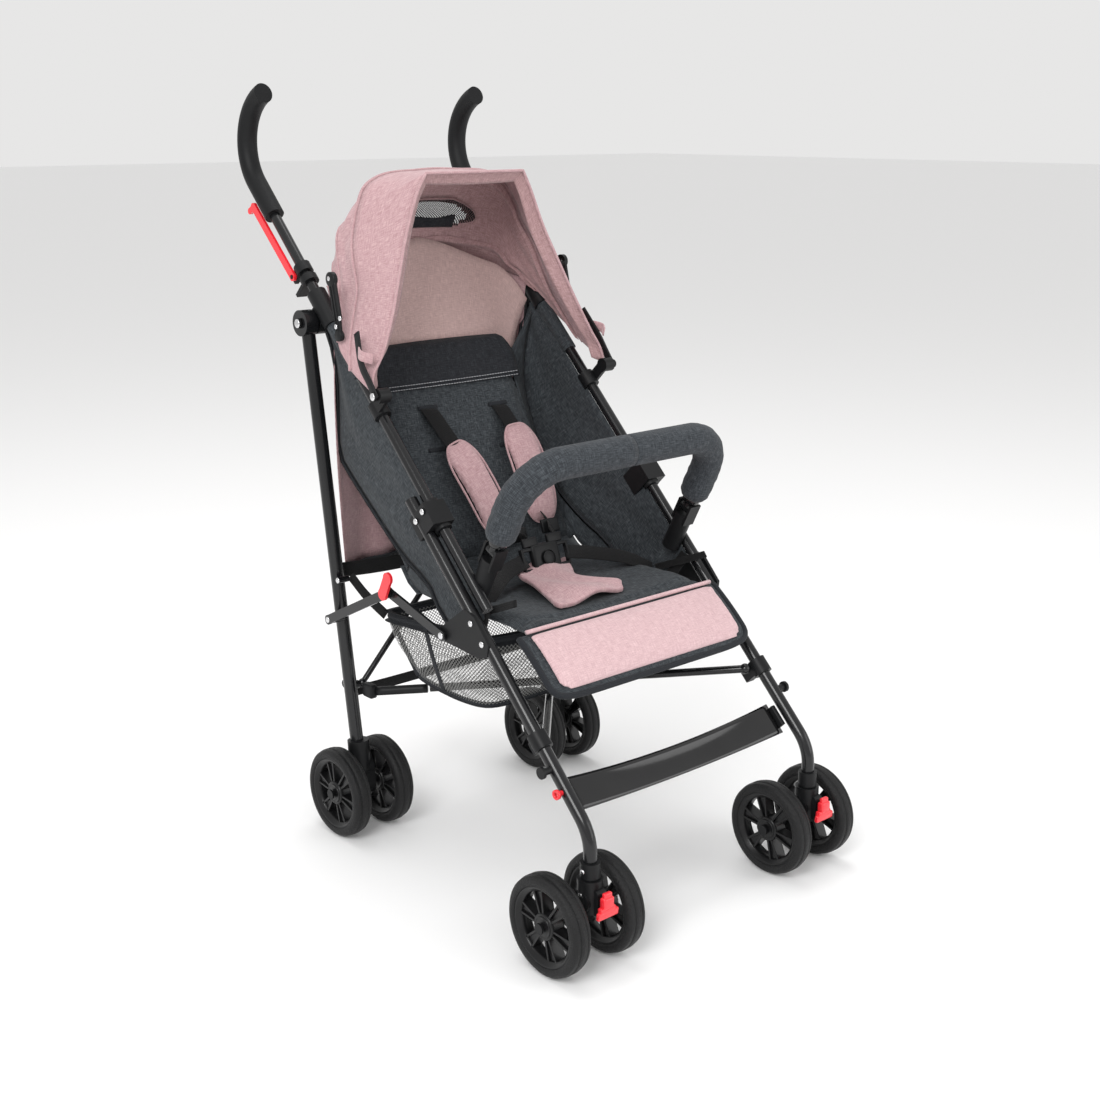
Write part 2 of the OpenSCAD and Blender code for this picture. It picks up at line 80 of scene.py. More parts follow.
def ramp(nt, stops, fac, b):
    """Colours the surface b by a ramp over the value fac."""
    r = nt.nodes.new("ShaderNodeValToRGB")
    e = r.color_ramp.elements
    while len(e) < len(stops):
        e.new(0.5)
    for el, (p, c) in zip(e, stops):
        el.position = p
        el.color = (*c, 1)
    link(nt, fac, r.inputs["Fac"])
    link(nt, r.outputs["Color"], b.inputs["Base Color"])
    return r


def mapped(nt, coord, scale):
    tc = nt.nodes.new("ShaderNodeTexCoord")
    mp = nt.nodes.new("ShaderNodeMapping")
    mp.inputs["Scale"].default_value = scale
    link(nt, tc.outputs[coord], mp.inputs["Vector"])
    return mp.outputs["Vector"]


def noise(nt, vec, scale, detail=3.0, rough=0.5):
    n = node(nt, "ShaderNodeTexNoise", Scale=scale, Detail=detail, Roughness=rough)
    link(nt, vec, n.inputs["Vector"])
    return n.outputs["Fac"]


def bump(nt, b, height, strength, distance, after=None):
    n = node(nt, "ShaderNodeBump", Strength=strength, Distance=distance)
    link(nt, height, n.inputs["Height"])
    if after is not None:
        link(nt, after.outputs["Normal"], n.inputs["Normal"])
    link(nt, n.outputs["Normal"], b.inputs["Normal"])
    return n


def math_node(nt, op, a, b=None):
    n = nt.nodes.new("ShaderNodeMath")
    n.operation = op
    for i, v in enumerate((a, b)):
        if v is None:
            continue
        if isinstance(v, (int, float)):
            n.inputs[i].default_value = v
        else:
            link(nt, v, n.inputs[i])
    return n.outputs[0]


def uv_parts(nt):
    sep = nt.nodes.new("ShaderNodeSeparateXYZ")
    link(nt, mapped(nt, "UV", (1, 1, 1)), sep.inputs[0])
    return sep.outputs[0], sep.outputs[1]


def wave(nt, value, k):
    return math_node(nt, "SINE", math_node(nt, "MULTIPLY", value, k))


THREAD_PITCH = 0.0016
DIAGONAL = 0.7071


def fabric(name, dark, mid, light, fleck=1.0, rough=0.92, sheen=0.25, through=0.0):
    """Woven cloth: crossing melange threads, a plain weave and soft creases. UVs are in metres."""
    m, nt, b = material(name, mid, rough, sheen=sheen, spec=0.25)
    warp = noise(nt, mapped(nt, "UV", (90, 1100, 1)), 1.0, 2.0)
    weft = noise(nt, mapped(nt, "UV", (1100, 90, 1)), 1.0, 2.0)
    both = math_node(nt, "MULTIPLY", math_node(nt, "ADD", warp, weft), 0.5)
    s = 0.11 * fleck
    r = ramp(nt, ((0.5 - s, dark), (0.5, mid), (0.5 + s, light)), both, b)
    x, y = uv_parts(nt)
    k = 2 * math.pi / THREAD_PITCH
    weave = math_node(nt, "MULTIPLY", wave(nt, x, k), wave(nt, y, k))
    height = math_node(nt, "ADD", math_node(nt, "MULTIPLY", weave, 0.35), both)
    creases = noise(nt, mapped(nt, "Object", (1, 1, 1)), 14.0, 4.0, 0.6)
    first = bump(nt, b, creases, 0.35, 0.012)
    bump(nt, b, height, 0.3, 0.0006, first)
    if through:
        out = nt.nodes["Material Output"]
        t = nt.nodes.new("ShaderNodeBsdfTranslucent")
        link(nt, r.outputs["Color"], t.inputs["Color"])
        mx = node(nt, "ShaderNodeMixShader", Fac=through)
        link(nt, b.outputs[0], mx.inputs[1])
        link(nt, t.outputs[0], mx.inputs[2])
        link(nt, mx.outputs[0], out.inputs["Surface"])
    return m


def grainy(name, color, rough, coat=0.0, grain=900.0, strength=0.25, metal=0.0, mottling=0.12, spec=0.5,
           depth=0.0004):
    """Hard or rubbery surface with fine grain and slight unevenness of tone and gloss."""
    m, nt, b = material(name, color, rough, metal=metal, coat=coat, spec=spec)
    vec = mapped(nt, "Object", (1, 1, 1))
    big = noise(nt, vec, 18.0, 4.0)
    lo = tuple(max(0.0, c * (1 - mottling)) for c in color)
    hi = tuple(min(1.0, c * (1 + mottling) + 0.002) for c in color)
    ramp(nt, ((0.3, lo), (0.7, hi)), big, b)
    rr = node(nt, "ShaderNodeMapRange", **{"To Min": max(0.02, rough - 0.05), "To Max": rough + 0.07})
    link(nt, big, rr.inputs["Value"])
    link(nt, rr.outputs[0], b.inputs["Roughness"])
    bump(nt, b, noise(nt, vec, grain, 2.0), strength, depth)
    return m


def mesh_cloth(name, color, hole, gap):
    """Open net: threads round small round holes, laid out in staggered rows by the UVs."""
    m, nt, b = material(name, color, 0.8, sheen=0.2, spec=0.3)
    x, y = uv_parts(nt)
    k = 2 * math.pi / hole * DIAGONAL
    a = wave(nt, math_node(nt, "ADD", x, y), k)
    c = wave(nt, math_node(nt, "SUBTRACT", x, y), k)
    prod = math_node(nt, "MULTIPLY", a, c)
    solid = math_node(nt, "LESS_THAN", math_node(nt, "ABSOLUTE", prod), gap)
    mx = nt.nodes.new("ShaderNodeMixShader")
    t = nt.nodes.new("ShaderNodeBsdfTransparent")
    link(nt, solid, mx.inputs[0])
    link(nt, t.outputs[0], mx.inputs[1])
    link(nt, b.outputs[0], mx.inputs[2])
    link(nt, mx.outputs[0], nt.nodes["Material Output"].inputs["Surface"])
    bump(nt, b, prod, 0.3, 0.0005)
    return m


def webbing(name, color):
    m, nt, b = material(name, color, 0.75, sheen=0.05, spec=0.2)
    x, y = uv_parts(nt)
    ribs = wave(nt, x, 2 * math.pi / 0.0022)
    twill = wave(nt, y, 2 * math.pi / 0.0014)
    bump(nt, b, math_node(nt, "ADD", math_node(nt, "MULTIPLY", ribs, 0.5),
                          math_node(nt, "MULTIPLY", ribs, twill)), 0.55, 0.0005)
    return m


PINK = fabric("Pink cloth", (0.42, 0.25, 0.265), (0.50, 0.315, 0.33), (0.61, 0.42, 0.43), through=0.12)
# the pink cloth evenly darkened, used for the inside of the hood, its hem, casings and window binding: painted
# shade
PINK_IN_PAINTED_SHADE = fabric("Canopy lining", (0.33, 0.195, 0.20), (0.42, 0.26, 0.265), (0.52, 0.34, 0.34), through=0.10)
BACKCLOTH = fabric("Back cloth", (0.50, 0.345, 0.33), (0.59, 0.42, 0.40), (0.70, 0.52, 0.49), fleck=1.3,
                   through=0.2)
PALE = fabric("Pale pink cloth", (0.50, 0.33, 0.345), (0.58, 0.395, 0.41), (0.68, 0.49, 0.50), fleck=1.2)
CHARCOAL = fabric("Charcoal melange", (0.017, 0.020, 0.0235), (0.033, 0.038, 0.043), (0.068, 0.077, 0.084),
                  rough=0.9, sheen=0.06)
HEADER = fabric("Header cloth", (0.010, 0.011, 0.014), (0.016, 0.0175, 0.021), (0.030, 0.033, 0.038),
                rough=0.9, sheen=0.04)
FOAMCLOTH = fabric("Bumper cloth", (0.020, 0.023, 0.027), (0.034, 0.039, 0.045), (0.068, 0.076, 0.085),
                   rough=0.9, sheen=0.06)
BINDING = webbing("Binding tape", (0.017, 0.019, 0.023))
STRAP = webbing("Black webbing", (0.006, 0.006, 0.0065))
NET = mesh_cloth("Basket net", (0.16, 0.16, 0.155), hole=0.0085, gap=0.30)
DARKNET = mesh_cloth("Window net", (0.010, 0.009, 0.009), hole=0.0054, gap=0.62)
GLOSS = grainy("Black powder coat", (0.006, 0.0062, 0.007), 0.22, coat=0.25, grain=1400, strength=0.06,
               spec=0.3)
PLASTIC = grainy("Black plastic", (0.0065, 0.0068, 0.0075), 0.42, grain=1500, strength=0.2, spec=0.22)
SHINY = grainy("Glossy black", (0.004, 0.004, 0.0045), 0.10, coat=0.45, grain=60, strength=0.12, spec=0.3)
RUBBER = grainy("Foam rubber", (0.0055, 0.0058, 0.0065), 0.5, grain=1800, strength=0.3, spec=0.2)
TYRE = grainy("Tyre", (0.008, 0.008, 0.0085), 0.5, grain=520, strength=1.0, spec=0.25, depth=0.0012)
RIM = grainy("Wheel plastic", (0.0055, 0.0055, 0.006), 0.3, coat=0.1, grain=1600, strength=0.12, spec=0.25)
RED = grainy("Red plastic", (0.80, 0.018, 0.03), 0.28, coat=0.4, grain=900, strength=0.05, mottling=0.06)
STEEL = grainy("Rivet steel", (0.72, 0.72, 0.73), 0.18, metal=1.0, grain=1200, strength=0.1, mottling=0.05)
THREAD = grainy("Pale thread", (0.42, 0.43, 0.45), 0.8, grain=2000, strength=0.3)

# ------------------------------------------------------------- mesh building


def run_of(path):
    """Arc length at each point of a path."""
    return np.r_[0, np.cumsum(np.linalg.norm(np.diff(path, axis=0), axis=1))]


def smooth_shade(o):
    o.data.polygons.foreach_set("use_smooth", [True] * len(o.data.polygons))


def link_mesh(name, verts, faces, mat, uvs=None, smooth=True):
    me = bpy.data.meshes.new(name)
    me.from_pydata([tuple(v) for v in verts], [], faces)
    o = bpy.data.objects.new(name, me)
    bpy.context.scene.collection.objects.link(o)
    me.materials.append(mat)
    if uvs is not None:
        layer = me.uv_layers.new(name="UVMap")
        idx = np.empty(len(me.loops), int)
        me.loops.foreach_get("vertex_index", idx)
        layer.data.foreach_set("uv", np.asarray(uvs, float)[idx].ravel())
    if smooth:
        smooth_shade(o)
    me.update()
    return o


def final(o, *mods):
    """Adds modifiers and makes them part of the mesh."""
    for kind, settings in mods:
        md = o.modifiers.new(kind, kind)
        for k, v in settings.items():
            setattr(md, k, v)
    bpy.context.view_layer.update()
    me = bpy.data.meshes.new_from_object(o.evaluated_get(bpy.context.evaluated_depsgraph_get()))
    o.modifiers.clear()
    o.data = me
    return o


def spline(points, n):
    """n points at equal arc lengths along a smooth curve through the points."""
    p = np.asarray(points, float)
    if len(p) == 2:
        return p[0] + (p[1] - p[0]) * np.linspace(0, 1, n)[:, None]
    e = np.vstack([2 * p[0] - p[1], p, 2 * p[-1] - p[-2]])
    out = []
    for i in range(1, len(e) - 2):
        for t in np.linspace(0, 1, 12, endpoint=False):
            a, b, c, d = e[i - 1:i + 3]
            out.append(0.5 * (2 * b + (c - a) * t + (2 * a - 5 * b + 4 * c - d) * t * t
                              + (3 * b - a - 3 * c + d) * t ** 3))
    out.append(e[-2])
    out = np.array(out)
    s = run_of(out)
    q = np.linspace(0, s[-1], n)
    return np.stack([np.interp(q, s, out[:, k]) for k in range(out.shape[1])], 1)


CUT = {}


def cut_of(name, P):
    """Keeps the flat size of a sheet: its longest arc each way, and its area."""
    wide = np.linalg.norm(np.diff(P, axis=1), axis=2).sum(1).max()
    long = np.linalg.norm(np.diff(P, axis=0), axis=2).sum(0).max()
    a, b, c, d = P[:-1, :-1], P[:-1, 1:], P[1:, 1:], P[1:, :-1]
    area = 0.5 * np.linalg.norm(np.cross(c - a, d - b), axis=2).sum()
    CUT[name.replace(" ", "_")] = (float(wide), float(long), float(area))


def grid(name, rows, mat, thick=0.0, flip=False):
    """A cloth sheet through an array of points [rows][columns]. UVs are metres along each way."""
    P = np.asarray(rows, float)
    cut_of(name, P)
    n, m = P.shape[:2]
    du = np.r_[0, np.cumsum(np.linalg.norm(np.diff(P, axis=1), axis=2).mean(0))]
    dv = np.r_[0, np.cumsum(np.linalg.norm(np.diff(P, axis=0), axis=2).mean(1))]
    U, V = np.meshgrid(du - du[-1] / 2, dv)
    faces = []
    for j in range(n - 1):
        for i in range(m - 1):
            f = (j * m + i, j * m + i + 1, (j + 1) * m + i + 1, (j + 1) * m + i)
            faces.append(f[::-1] if flip else f)
    o = link_mesh(name, P.reshape(-1, 3), faces, mat, np.stack([U.ravel(), V.ravel()], 1))
    return final(o, ("SOLIDIFY", dict(thickness=thick, offset=0.0))) if thick else o


def frames_along(path, up):
    t = np.gradient(path, axis=0)
    t /= np.linalg.norm(t, axis=1)[:, None]
    a = np.asarray(up, float)
    if a.ndim == 1:
        a = np.tile(a, (len(path), 1))
    side = np.cross(t, a)
    side /= np.maximum(np.linalg.norm(side, axis=1), 1e-9)[:, None]
    up2 = np.cross(side, t)
    return side, up2


def sweep(name, path, profile, mat, up=(0, 0, 1), closed=False, scale=None):
    """Draws a closed outline [(side, up), ...] along a path."""
    path = np.asarray(path, float)
    prof = np.asarray(profile, float)
    side, up2 = frames_along(path, up)
    if closed:
        d = np.roll(path, -1, 0) - np.roll(path, 1, 0)
        d /= np.linalg.norm(d, axis=1)[:, None]
        side = np.cross(d, np.asarray(up, float))
        side /= np.linalg.norm(side, axis=1)[:, None]
        up2 = np.cross(side, d)
    k = np.ones(len(path)) if scale is None else np.asarray(scale, float)
    V = (path[:, None, :] + prof[None, :, :1] * side[:, None, :] * k[:, None, None]
         + prof[None, :, 1:] * up2[:, None, :] * k[:, None, None])
    n, m = V.shape[:2]
    U, W = np.meshgrid(run_of(prof), run_of(path))
    faces = []
    last = n if closed else n - 1
    for j in range(last):
        for i in range(m):
            faces.append((j * m + i, j * m + (i + 1) % m, ((j + 1) % n) * m + (i + 1) % m,
                          ((j + 1) % n) * m + i))
    if not closed:
        faces.append(tuple(range(m))[::-1])
        faces.append(tuple((n - 1) * m + i for i in range(m)))
    return link_mesh(name, V.reshape(-1, 3), faces, mat, np.stack([U.ravel(), W.ravel()], 1))


def circle_profile(r, n=16):
    a = np.linspace(0, 2 * math.pi, n, endpoint=False)
    return np.stack([r * np.cos(a), r * np.sin(a)], 1)


def strap_profile(w, t):
    """A flat strap with rounded edges."""
    a = np.linspace(-math.pi / 2, math.pi / 2, 5)
    right = np.stack([w / 2 - t / 2 + t / 2 * np.cos(a), t / 2 * np.sin(a)], 1)
    return np.vstack([right, -right])


def strap(name, points, w, mat, up=(0, 0, 1), t=0.0018, n=24):
    return sweep(name, spline(points, n), strap_profile(w, t), mat, up=up)


def lathe(name, profile, mat, centre, axis="X", seg=64, flip=1):
    """Turns an outline [(along the axis, radius), ...]."""
    pr = np.asarray(profile, float)
    a = np.linspace(0, 2 * math.pi, seg, endpoint=False)
    V = []
    for al, r in pr:
        ring = {"X": lambda c, s: (al * flip, r * c, r * s), "Y": lambda c, s: (r * s, al * flip, r * c),
                "Z": lambda c, s: (r * c, r * s, al * flip)}[axis]
        V.append([ring(math.cos(x), math.sin(x)) for x in a])
    V = np.array(V) + np.array(centre)
    n = len(pr)
    faces = [(j * seg + i, (j + 1) * seg + i, (j + 1) * seg + (i + 1) % seg, j * seg + (i + 1) % seg)
             for j in range(n - 1) for i in range(seg)]
    s = run_of(pr)
    uv = np.array([(s[j], a[i] * 0.05) for j in range(n) for i in range(seg)])
    return link_mesh(name, V.reshape(-1, 3), faces, mat, uv)


def join(name, objs):
    objs = [o for o in objs if o]
    with bpy.context.temp_override(active_object=objs[0], selected_objects=objs,
                                   selected_editable_objects=objs):
        bpy.ops.object.join()
    objs[0].name = name
    objs[0].data.name = name
    return objs[0]


def rivet(name, centre, sg, r):
    """A domed head that stands on an outer side face; centre is given for the left side."""
    h = 0.0016
    pr = [(0, r), (h * 0.35, r), (h * 0.75, r * 0.8), (h, r * 0.4), (h * 1.05, 0.0001)]
    o = lathe("Rivet", pr, STEEL, (0, 0, 0), axis="Z", seg=18)
    q = Vector((sg, 0, 0)).to_track_quat("Z", "Y")
    x, y, z = centre
    o.data.transform(Matrix.Translation(Vector((sg * x, y, z))) @ q.to_matrix().to_4x4())
    o.name = name
    return o


def rounded_box(name, size, centre, mat, bevel=0.002, rot=None):
    x, y, z = (s / 2 for s in size)
    v = [(sx * x, sy * y, sz * z) for sx in (-1, 1) for sy in (-1, 1) for sz in (-1, 1)]
    f = [(0, 1, 3, 2), (4, 6, 7, 5), (0, 4, 5, 1), (2, 3, 7, 6), (0, 2, 6, 4), (1, 5, 7, 3)]
    o = link_mesh(name, v, f, mat, smooth=False)
    final(o, ("BEVEL", dict(width=bevel, segments=3)))
    smooth_shade(o)
    m = (rot or Matrix.Identity(4)).to_4x4()
    o.data.transform(Matrix.Translation(Vector(centre)) @ m)
    return o


def ride(o, body):
    o.name = o.name.replace(" ", "_")
    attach(o, body)


def soft(o, body="seat"):
    """Cloth on a body: it rides on the body, with a mesh of its own."""
    ride(o, body)
    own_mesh(o)
    return o


def half_to_full(half):
    """Centre-to-edge points to edge-to-edge, mirrored."""
    h = np.asarray(half, float)
    left = h[::-1].copy()
    left[:, 0] *= -1
    return np.vstack([left[:-1], h])


def mm(points):
    return np.asarray(points, float) / 1000.0


# --------------------------------------------------------- key frame measures
TUBE_X = 0.188
TUBE_OFF = 0.5525


def on_tube(z, x=TUBE_X):
    return np.array([x, z - TUBE_OFF, z])


def rear_leg(z):
    t = (0.731 - z) / 0.631
    return np.array([0.205 - 0.021 * t, 0.217 - 0.062 * t, z])


# ------------------------------------------------------------------- frame
GLOSSY = ("handle_tube", "front_leg", "rear_leg", "link_front", "link_rear", "seat_cross", "rear_cross",
          "bumper_arm")
COLOURED = {"handle_grip": RUBBER, "swivel_lock": RED, "lock_lever": RED, "carry_latch": RED}
for name, o in NODES.items():
    kind = name.split("_", 1)[1] if name.startswith(("right_", "left_")) else name
    mat = GLOSS if kind in GLOSSY else COLOURED.get(kind, PLASTIC)
    o.data.materials.clear()
    o.data.materials.append(mat)
    if mat in (PLASTIC, RED):
        b = o.modifiers.new("Edges", "BEVEL")
        b.width = 0.0007
        b.segments = 2
        b.limit_method = "ANGLE"
        b.angle_limit = math.radians(40)

# ------------------------------------------------------------------- wheels


TREAD = [(0.80, 0.0135), (0.93, 0.0125), (0.98, 0.009), (0.93, 0.0048), (0.74, 0.0016), (0.42, 0.0003),
         (0.40, 0.0012), (0.36, 0.0012), (0.34, 0.0)]     # share of the half width, depth below the tread


def wheel(name, cad):
    """Grained tyre, six-spoke rim with a rolled edge, and a hub cap on its outer face."""
    lo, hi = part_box(cad)
    c = (lo + hi) / 2
    R, w = (hi.z - lo.z) / 2, (hi.x - lo.x) / 2
    parts = []
    tyre = ([(-w * a, R - d) for a, d in TREAD] + [(0, R)]
            + [(w * a, R - d) for a, d in TREAD[::-1]] + [(0, R - 0.0138)])
    parts.append(lathe("Tyre", tyre, TYRE, (0, 0, 0), seg=96))
    ro = R - 0.0132
    ri = ro - 0.0075
    rim = [(0.82, ro), (0.86, ro - 0.001), (0.80, ro - 0.003), (0.55, ri + 0.0012), (0.50, ri)]
    rim = [(-w * a, h) for a, h in rim] + [(w * a, h) for a, h in rim[::-1]] + [(0, ro)]
    parts.append(lathe("Rim", rim, RIM, (0, 0, 0), seg=72))
    hub = [(0.72, 0.0052), (0.72, 0.0155), (0.66, 0.0170), (0.45, 0.0172)]
    hub = [(-w * a, h) for a, h in hub] + [(w * a, h) for a, h in hub[::-1]]
    parts.append(lathe("Hub", hub, RIM, (0, 0, 0), seg=40))
    for sgn in (-1, 1):
        cap = [(0, 0.0140), (0.0012, 0.0138), (0.0016, 0.0126), (0.0010, 0.0118), (0.0014, 0.0100),
               (0.0018, 0.0001)]
        parts.append(lathe("Cap", [(sgn * (w * 0.72) + sgn * a, r) for a, r in cap], RIM, (0, 0, 0), seg=36))
    # spokes: a wide web with two ribs, closer together at the hub
    for k in range(6):
        a = math.radians(60 * k + 12)
        ca, sa = math.cos(a), math.sin(a)

        def pt(x, u, v):
            return (x, u * ca - v * sa, u * sa + v * ca)
        r0, r1 = 0.0150, ri + 0.0012
        for v0, v1, t, xw in ((0.0030, 0.0072, 0.0016, w * 0.62), (-0.0030, -0.0072, 0.0016, w * 0.62),
                              (0.0, 0.0, 0.0038, w * 0.34)):
            t1, narrow = (t, 0.86) if abs(v0) > 0 else (0.0078, 1)
            v = []
            for x in (-xw, xw):
                v += [pt(x, r0, v0 - t), pt(x, r0, v0 + t), pt(x * narrow, r1, v1 + t1),
                      pt(x * narrow, r1, v1 - t1)]
            f = [(0, 1, 2, 3), (7, 6, 5, 4), (0, 4, 5, 1), (1, 5, 6, 2), (2, 6, 7, 3), (3, 7, 4, 0)]
            s = link_mesh("Spoke", v, f, RIM, smooth=False)
            final(s, ("BEVEL", dict(width=0.0006, segments=2)))
            parts.append(s)
    o = join(name, parts)
    o.data.transform(Matrix.Translation(c))
    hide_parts(cad)
    ride(o, cad)
    return o


for s, title, sg in SIDES:
    for end in ("front", "rear"):
        for place in ("outer", "inner"):
            wheel(f"{title} {end} {place} wheel", f"{s}_{end}_{place}_wheel")

# ------------------------------------------------------------------- canopy
# Sections from the front edge back to the lower rear edge, each from the middle out and down.
CANOPY = [
    [(0, 100, 932), (20, 100, 932), (40, 100, 932), (58, 100, 932), (72, 100, 932), (85, 100, 932),
     (100, 101, 905),
     (120, 98, 855), (140, 88, 805), (160, 77, 755), (184, 68, 705), (203, 66, 675), (207, 60, 652)],
    [(0, 190, 932), (36, 190, 932), (70, 190, 931), (100, 189, 924), (126, 187, 909), (143, 183, 880),
     (150, 180, 858),
     (157, 173, 838), (163, 162, 815), (169, 147, 780), (181, 139, 745), (199, 123, 703), (209, 110, 678)],
    [(0, 222, 893), (40, 221, 891), (78, 220, 886), (110, 218, 878), (134, 216, 868), (149, 214, 856),
     (154, 211, 845),
     (158, 206, 830), (163, 199, 811), (169, 189, 786), (177, 176, 762), (189, 160, 735), (200, 149, 711)],
    [(0, 243, 842), (42, 242, 840), (80, 240, 834), (112, 236, 828), (136, 232, 820), (150, 228, 810),
     (157, 222, 800),
     (162, 214, 790), (167, 206, 781), (171, 200, 773), (175, 194, 766), (179, 188, 759), (183, 182, 752)],
    [(0, 266, 800), (44, 265, 797), (84, 262, 792), (116, 255, 786), (140, 246, 782), (154, 238, 779),
     (160, 232, 777),
     (164, 226, 776), (167, 220, 775), (169, 214, 774), (171, 208, 773), (173, 202, 771), (175, 196, 768)],
]


def canopy_rows(sections):
    """Smooth across the sections, with the corner and its crease to the bow kept sharp."""
    S = [mm(s) for s in sections]
    n, per, across = len(S), 8, 6
    k = 5              # the corner point of each section
    out = []
    for j in range(n - 1):
        for t in np.linspace(0, 1, per, endpoint=(j == n - 2)):
            a, b = S[j], S[j + 1]
            if j == 0:
                row = a + (b - a) * t
            else:
                p = S[j - 1] if j > 1 else 2 * a - b
                q = S[j + 2] if j + 2 < n else 2 * b - a
                row = 0.5 * (2 * a + (b - p) * t + (2 * p - 5 * a + 4 * b - q) * t * t
                             + (3 * a - p - 3 * b + q) * t ** 3)
            out.append(np.vstack([spline(row[:k + 1], k * across + 1)[:-1],
                                  spline(row[k:], (len(row) - 1 - k) * across + 1)]))
    return np.array(out)


rows = canopy_rows(CANOPY)
full = np.array([half_to_full(r) for r in rows])
# the cloth sags a little between the bows, and creases run down from the bows
nrow, ncol = full.shape[:2]
J, I = np.meshgrid(np.arange(nrow), np.arange(ncol), indexing="ij")
side = np.abs(I - ncol // 2) / (ncol // 2)
wob = (0.0016 * np.sin(J * 1.1 + 3.1 * side * 6) * np.sin(side * math.pi) * np.clip(J / 8.0 - 0.7, 0, 1)
       + 0.0013 * np.sin(J * 0.57 + I * 0.31) * np.clip(J / 6.0 - 0.6, 0, 1))
sag = (-0.006 * np.sin(np.clip((J - 16) / 16.0, 0, 1) * math.pi) * (1 - side)
       - 0.003 * np.sin(np.clip((J - 8) / 8.0, 0, 1) * math.pi) * (1 - side))
full[:, :, 2] += sag + wob * (1 - side)
full[:, :, 0] += np.sign(full[:, :, 0]) * wob * side
FRONT_ROWS = 9
canopy_front = grid("Canopy front panel", full[:FRONT_ROWS], PINK, thick=0.0014)
soft(canopy_front, "canopy_front")
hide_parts("canopy_front")


def with_window(o):
    """Cuts the window out of a sheet."""
    bm = bmesh.new()
    bm.from_mesh(o.data)
    gone = []
    for f in bm.faces:
        c = f.calc_center_median()
        arched = c.z + 0.7 * c.x ** 2
        if c.y > 0.19 and 0.850 < arched < 0.887 and abs(c.x) < 0.088 - 1.6 * abs(arched - 0.868):
            gone.append(f)
    bmesh.ops.delete(bm, geom=gone, context="FACES")
    bm.to_mesh(o.data)
    bm.free()
    return o


canopy_rear = with_window(grid("Canopy roof", full[FRONT_ROWS - 1:], PINK))
final(canopy_rear, ("SOLIDIFY", dict(thickness=0.0014, offset=0.0)))
# second slot: the pink cloth darkened as painted shade
canopy_rear.data.materials.append(PINK_IN_PAINTED_SHADE)
soft(canopy_rear, "seat")
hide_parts("canopy_rear")


def inset(rows, d):
    """Points moved inwards, towards the middle of the hood."""
    mid = np.array([0.0, 0.14, 0.76])
    v = mid - rows
    v[..., 1] *= 0.3
    return rows + d * v / np.linalg.norm(v, axis=-1, keepdims=True)


# the lining sheet is drawn in the pink cloth darkened as painted shade
lining = with_window(grid("Canopy lining", inset(full[FRONT_ROWS - 1:], 0.0035), PINK_IN_PAINTED_SHADE))
soft(lining, "seat")

# hem along the front edge: turned in and down
edge = full[0]
inner = inset(full[0], 0.017)
inner[:, 1] += 0.010
hem = [edge + (inner - edge) * t + np.array([0, 0.0014 * math.sin(t * math.pi), 0])
       for t in np.linspace(0, 1, 5)]
# the turned-in hem is the pink cloth, drawn darker as painted shade
soft(grid("Canopy front hem", hem, PINK_IN_PAINTED_SHADE, thick=0.0012), "canopy_front")
soft(sweep("Canopy front piping", edge, circle_profile(0.0022, 8), PINK, up=(0, 1, 0.2)), "canopy_front")


# raised seams along rows of the sheet
for nm, j, radius, body in (("front bow", 8, 0.0024, "canopy_front"), ("middle of the roof", 16, 0.0016, "seat"),
                            ("rear bow", 24, 0.0022, "seat")):
    soft(sweep(f"Seam over the {nm}", inset(full[j], -0.001), circle_profile(radius, 8), PINK,
               up=(0, 1, 0.3)), body)
# casings of the bows inside the hood, in the pink cloth darkened as painted shade
for nm, j in (("Casing of the front bow", 8), ("Casing of the rear bow", 23)):
    a = inset(full[j], 0.006)
    b = inset(full[min(j + 2, nrow - 1)], 0.006)
    c = inset(full[j], 0.012)
    c = (c + inset(full[j + 1], 0.012)) / 2
    o = grid(nm, [a, (a + c) / 2 + (c - a) * 0.2, c, (b + c) / 2 + (c - b) * 0.2, b], PINK_IN_PAINTED_SHADE)
    soft(o, "seat" if j > 8 else "canopy_front")

# net window in the back slope of the roof


def slope(x, z):
    """A point of the roof between the bows, just inside it."""
    t = (0.932 - z) / 0.090
    return np.array([x, 0.1865 + 0.0535 * t - 0.10 * x * x, z - 0.70 * x * x])


win = []
for z, hw in ((0.889, 0.046), (0.882, 0.072), (0.874, 0.090), (0.865, 0.099), (0.856, 0.094), (0.848, 0.084)):
    win.append([slope(x, z + 0.002) for x in np.linspace(-hw, hw, 21)])
win = np.array(win)
soft(grid("Canopy window net", win, DARKNET))
rim = np.vstack([win[0], win[1:-1, -1], win[-1][::-1], win[1:-1, 0][::-1]])
# the window binding is the pink cloth darkened as painted shade
soft(sweep("Canopy window binding", rim, strap_profile(0.0024, 0.0026), PINK_IN_PAINTED_SHADE, up=(0, 0.8, 0.6),
           closed=True))
flap = np.array([[slope(x, z) - np.array([0, 0.004 + 0.003 * math.sin(x * 90), 0.002])
                  for x in np.linspace(-0.07, 0.058, 19)] for z in np.linspace(0.868, 0.853, 5)])
flap[0, :, 2] += 0.004 * np.sin(np.linspace(0, 7, 19))
soft(grid("Rolled window flap", flap, HEADER, thick=0.0035))

# back cloth inside: from the rear bow down to the head of the backrest
WALL_TOP = mm([(0, 238, 836), (34, 234, 828), (66, 229, 816), (100, 223, 802), (134, 214, 788),
               (154, 200, 764), (168, 190, 738)])
WALL_LOW = mm([(0, 203, 676), (36, 203, 676), (70, 203, 676), (100, 202, 672), (118, 204, 664),
               (134, 204, 660), (150, 200, 662)])
top, low = half_to_full(spline(WALL_TOP, 16)), half_to_full(spline(WALL_LOW, 16))
wall = [low + (top - low) * t + np.array([0, 0.006, 0]) * math.sin(t * math.pi)
        for t in np.linspace(0, 1, 14)]
soft(grid("Back cloth inside", wall, BACKCLOTH, thick=0.001))

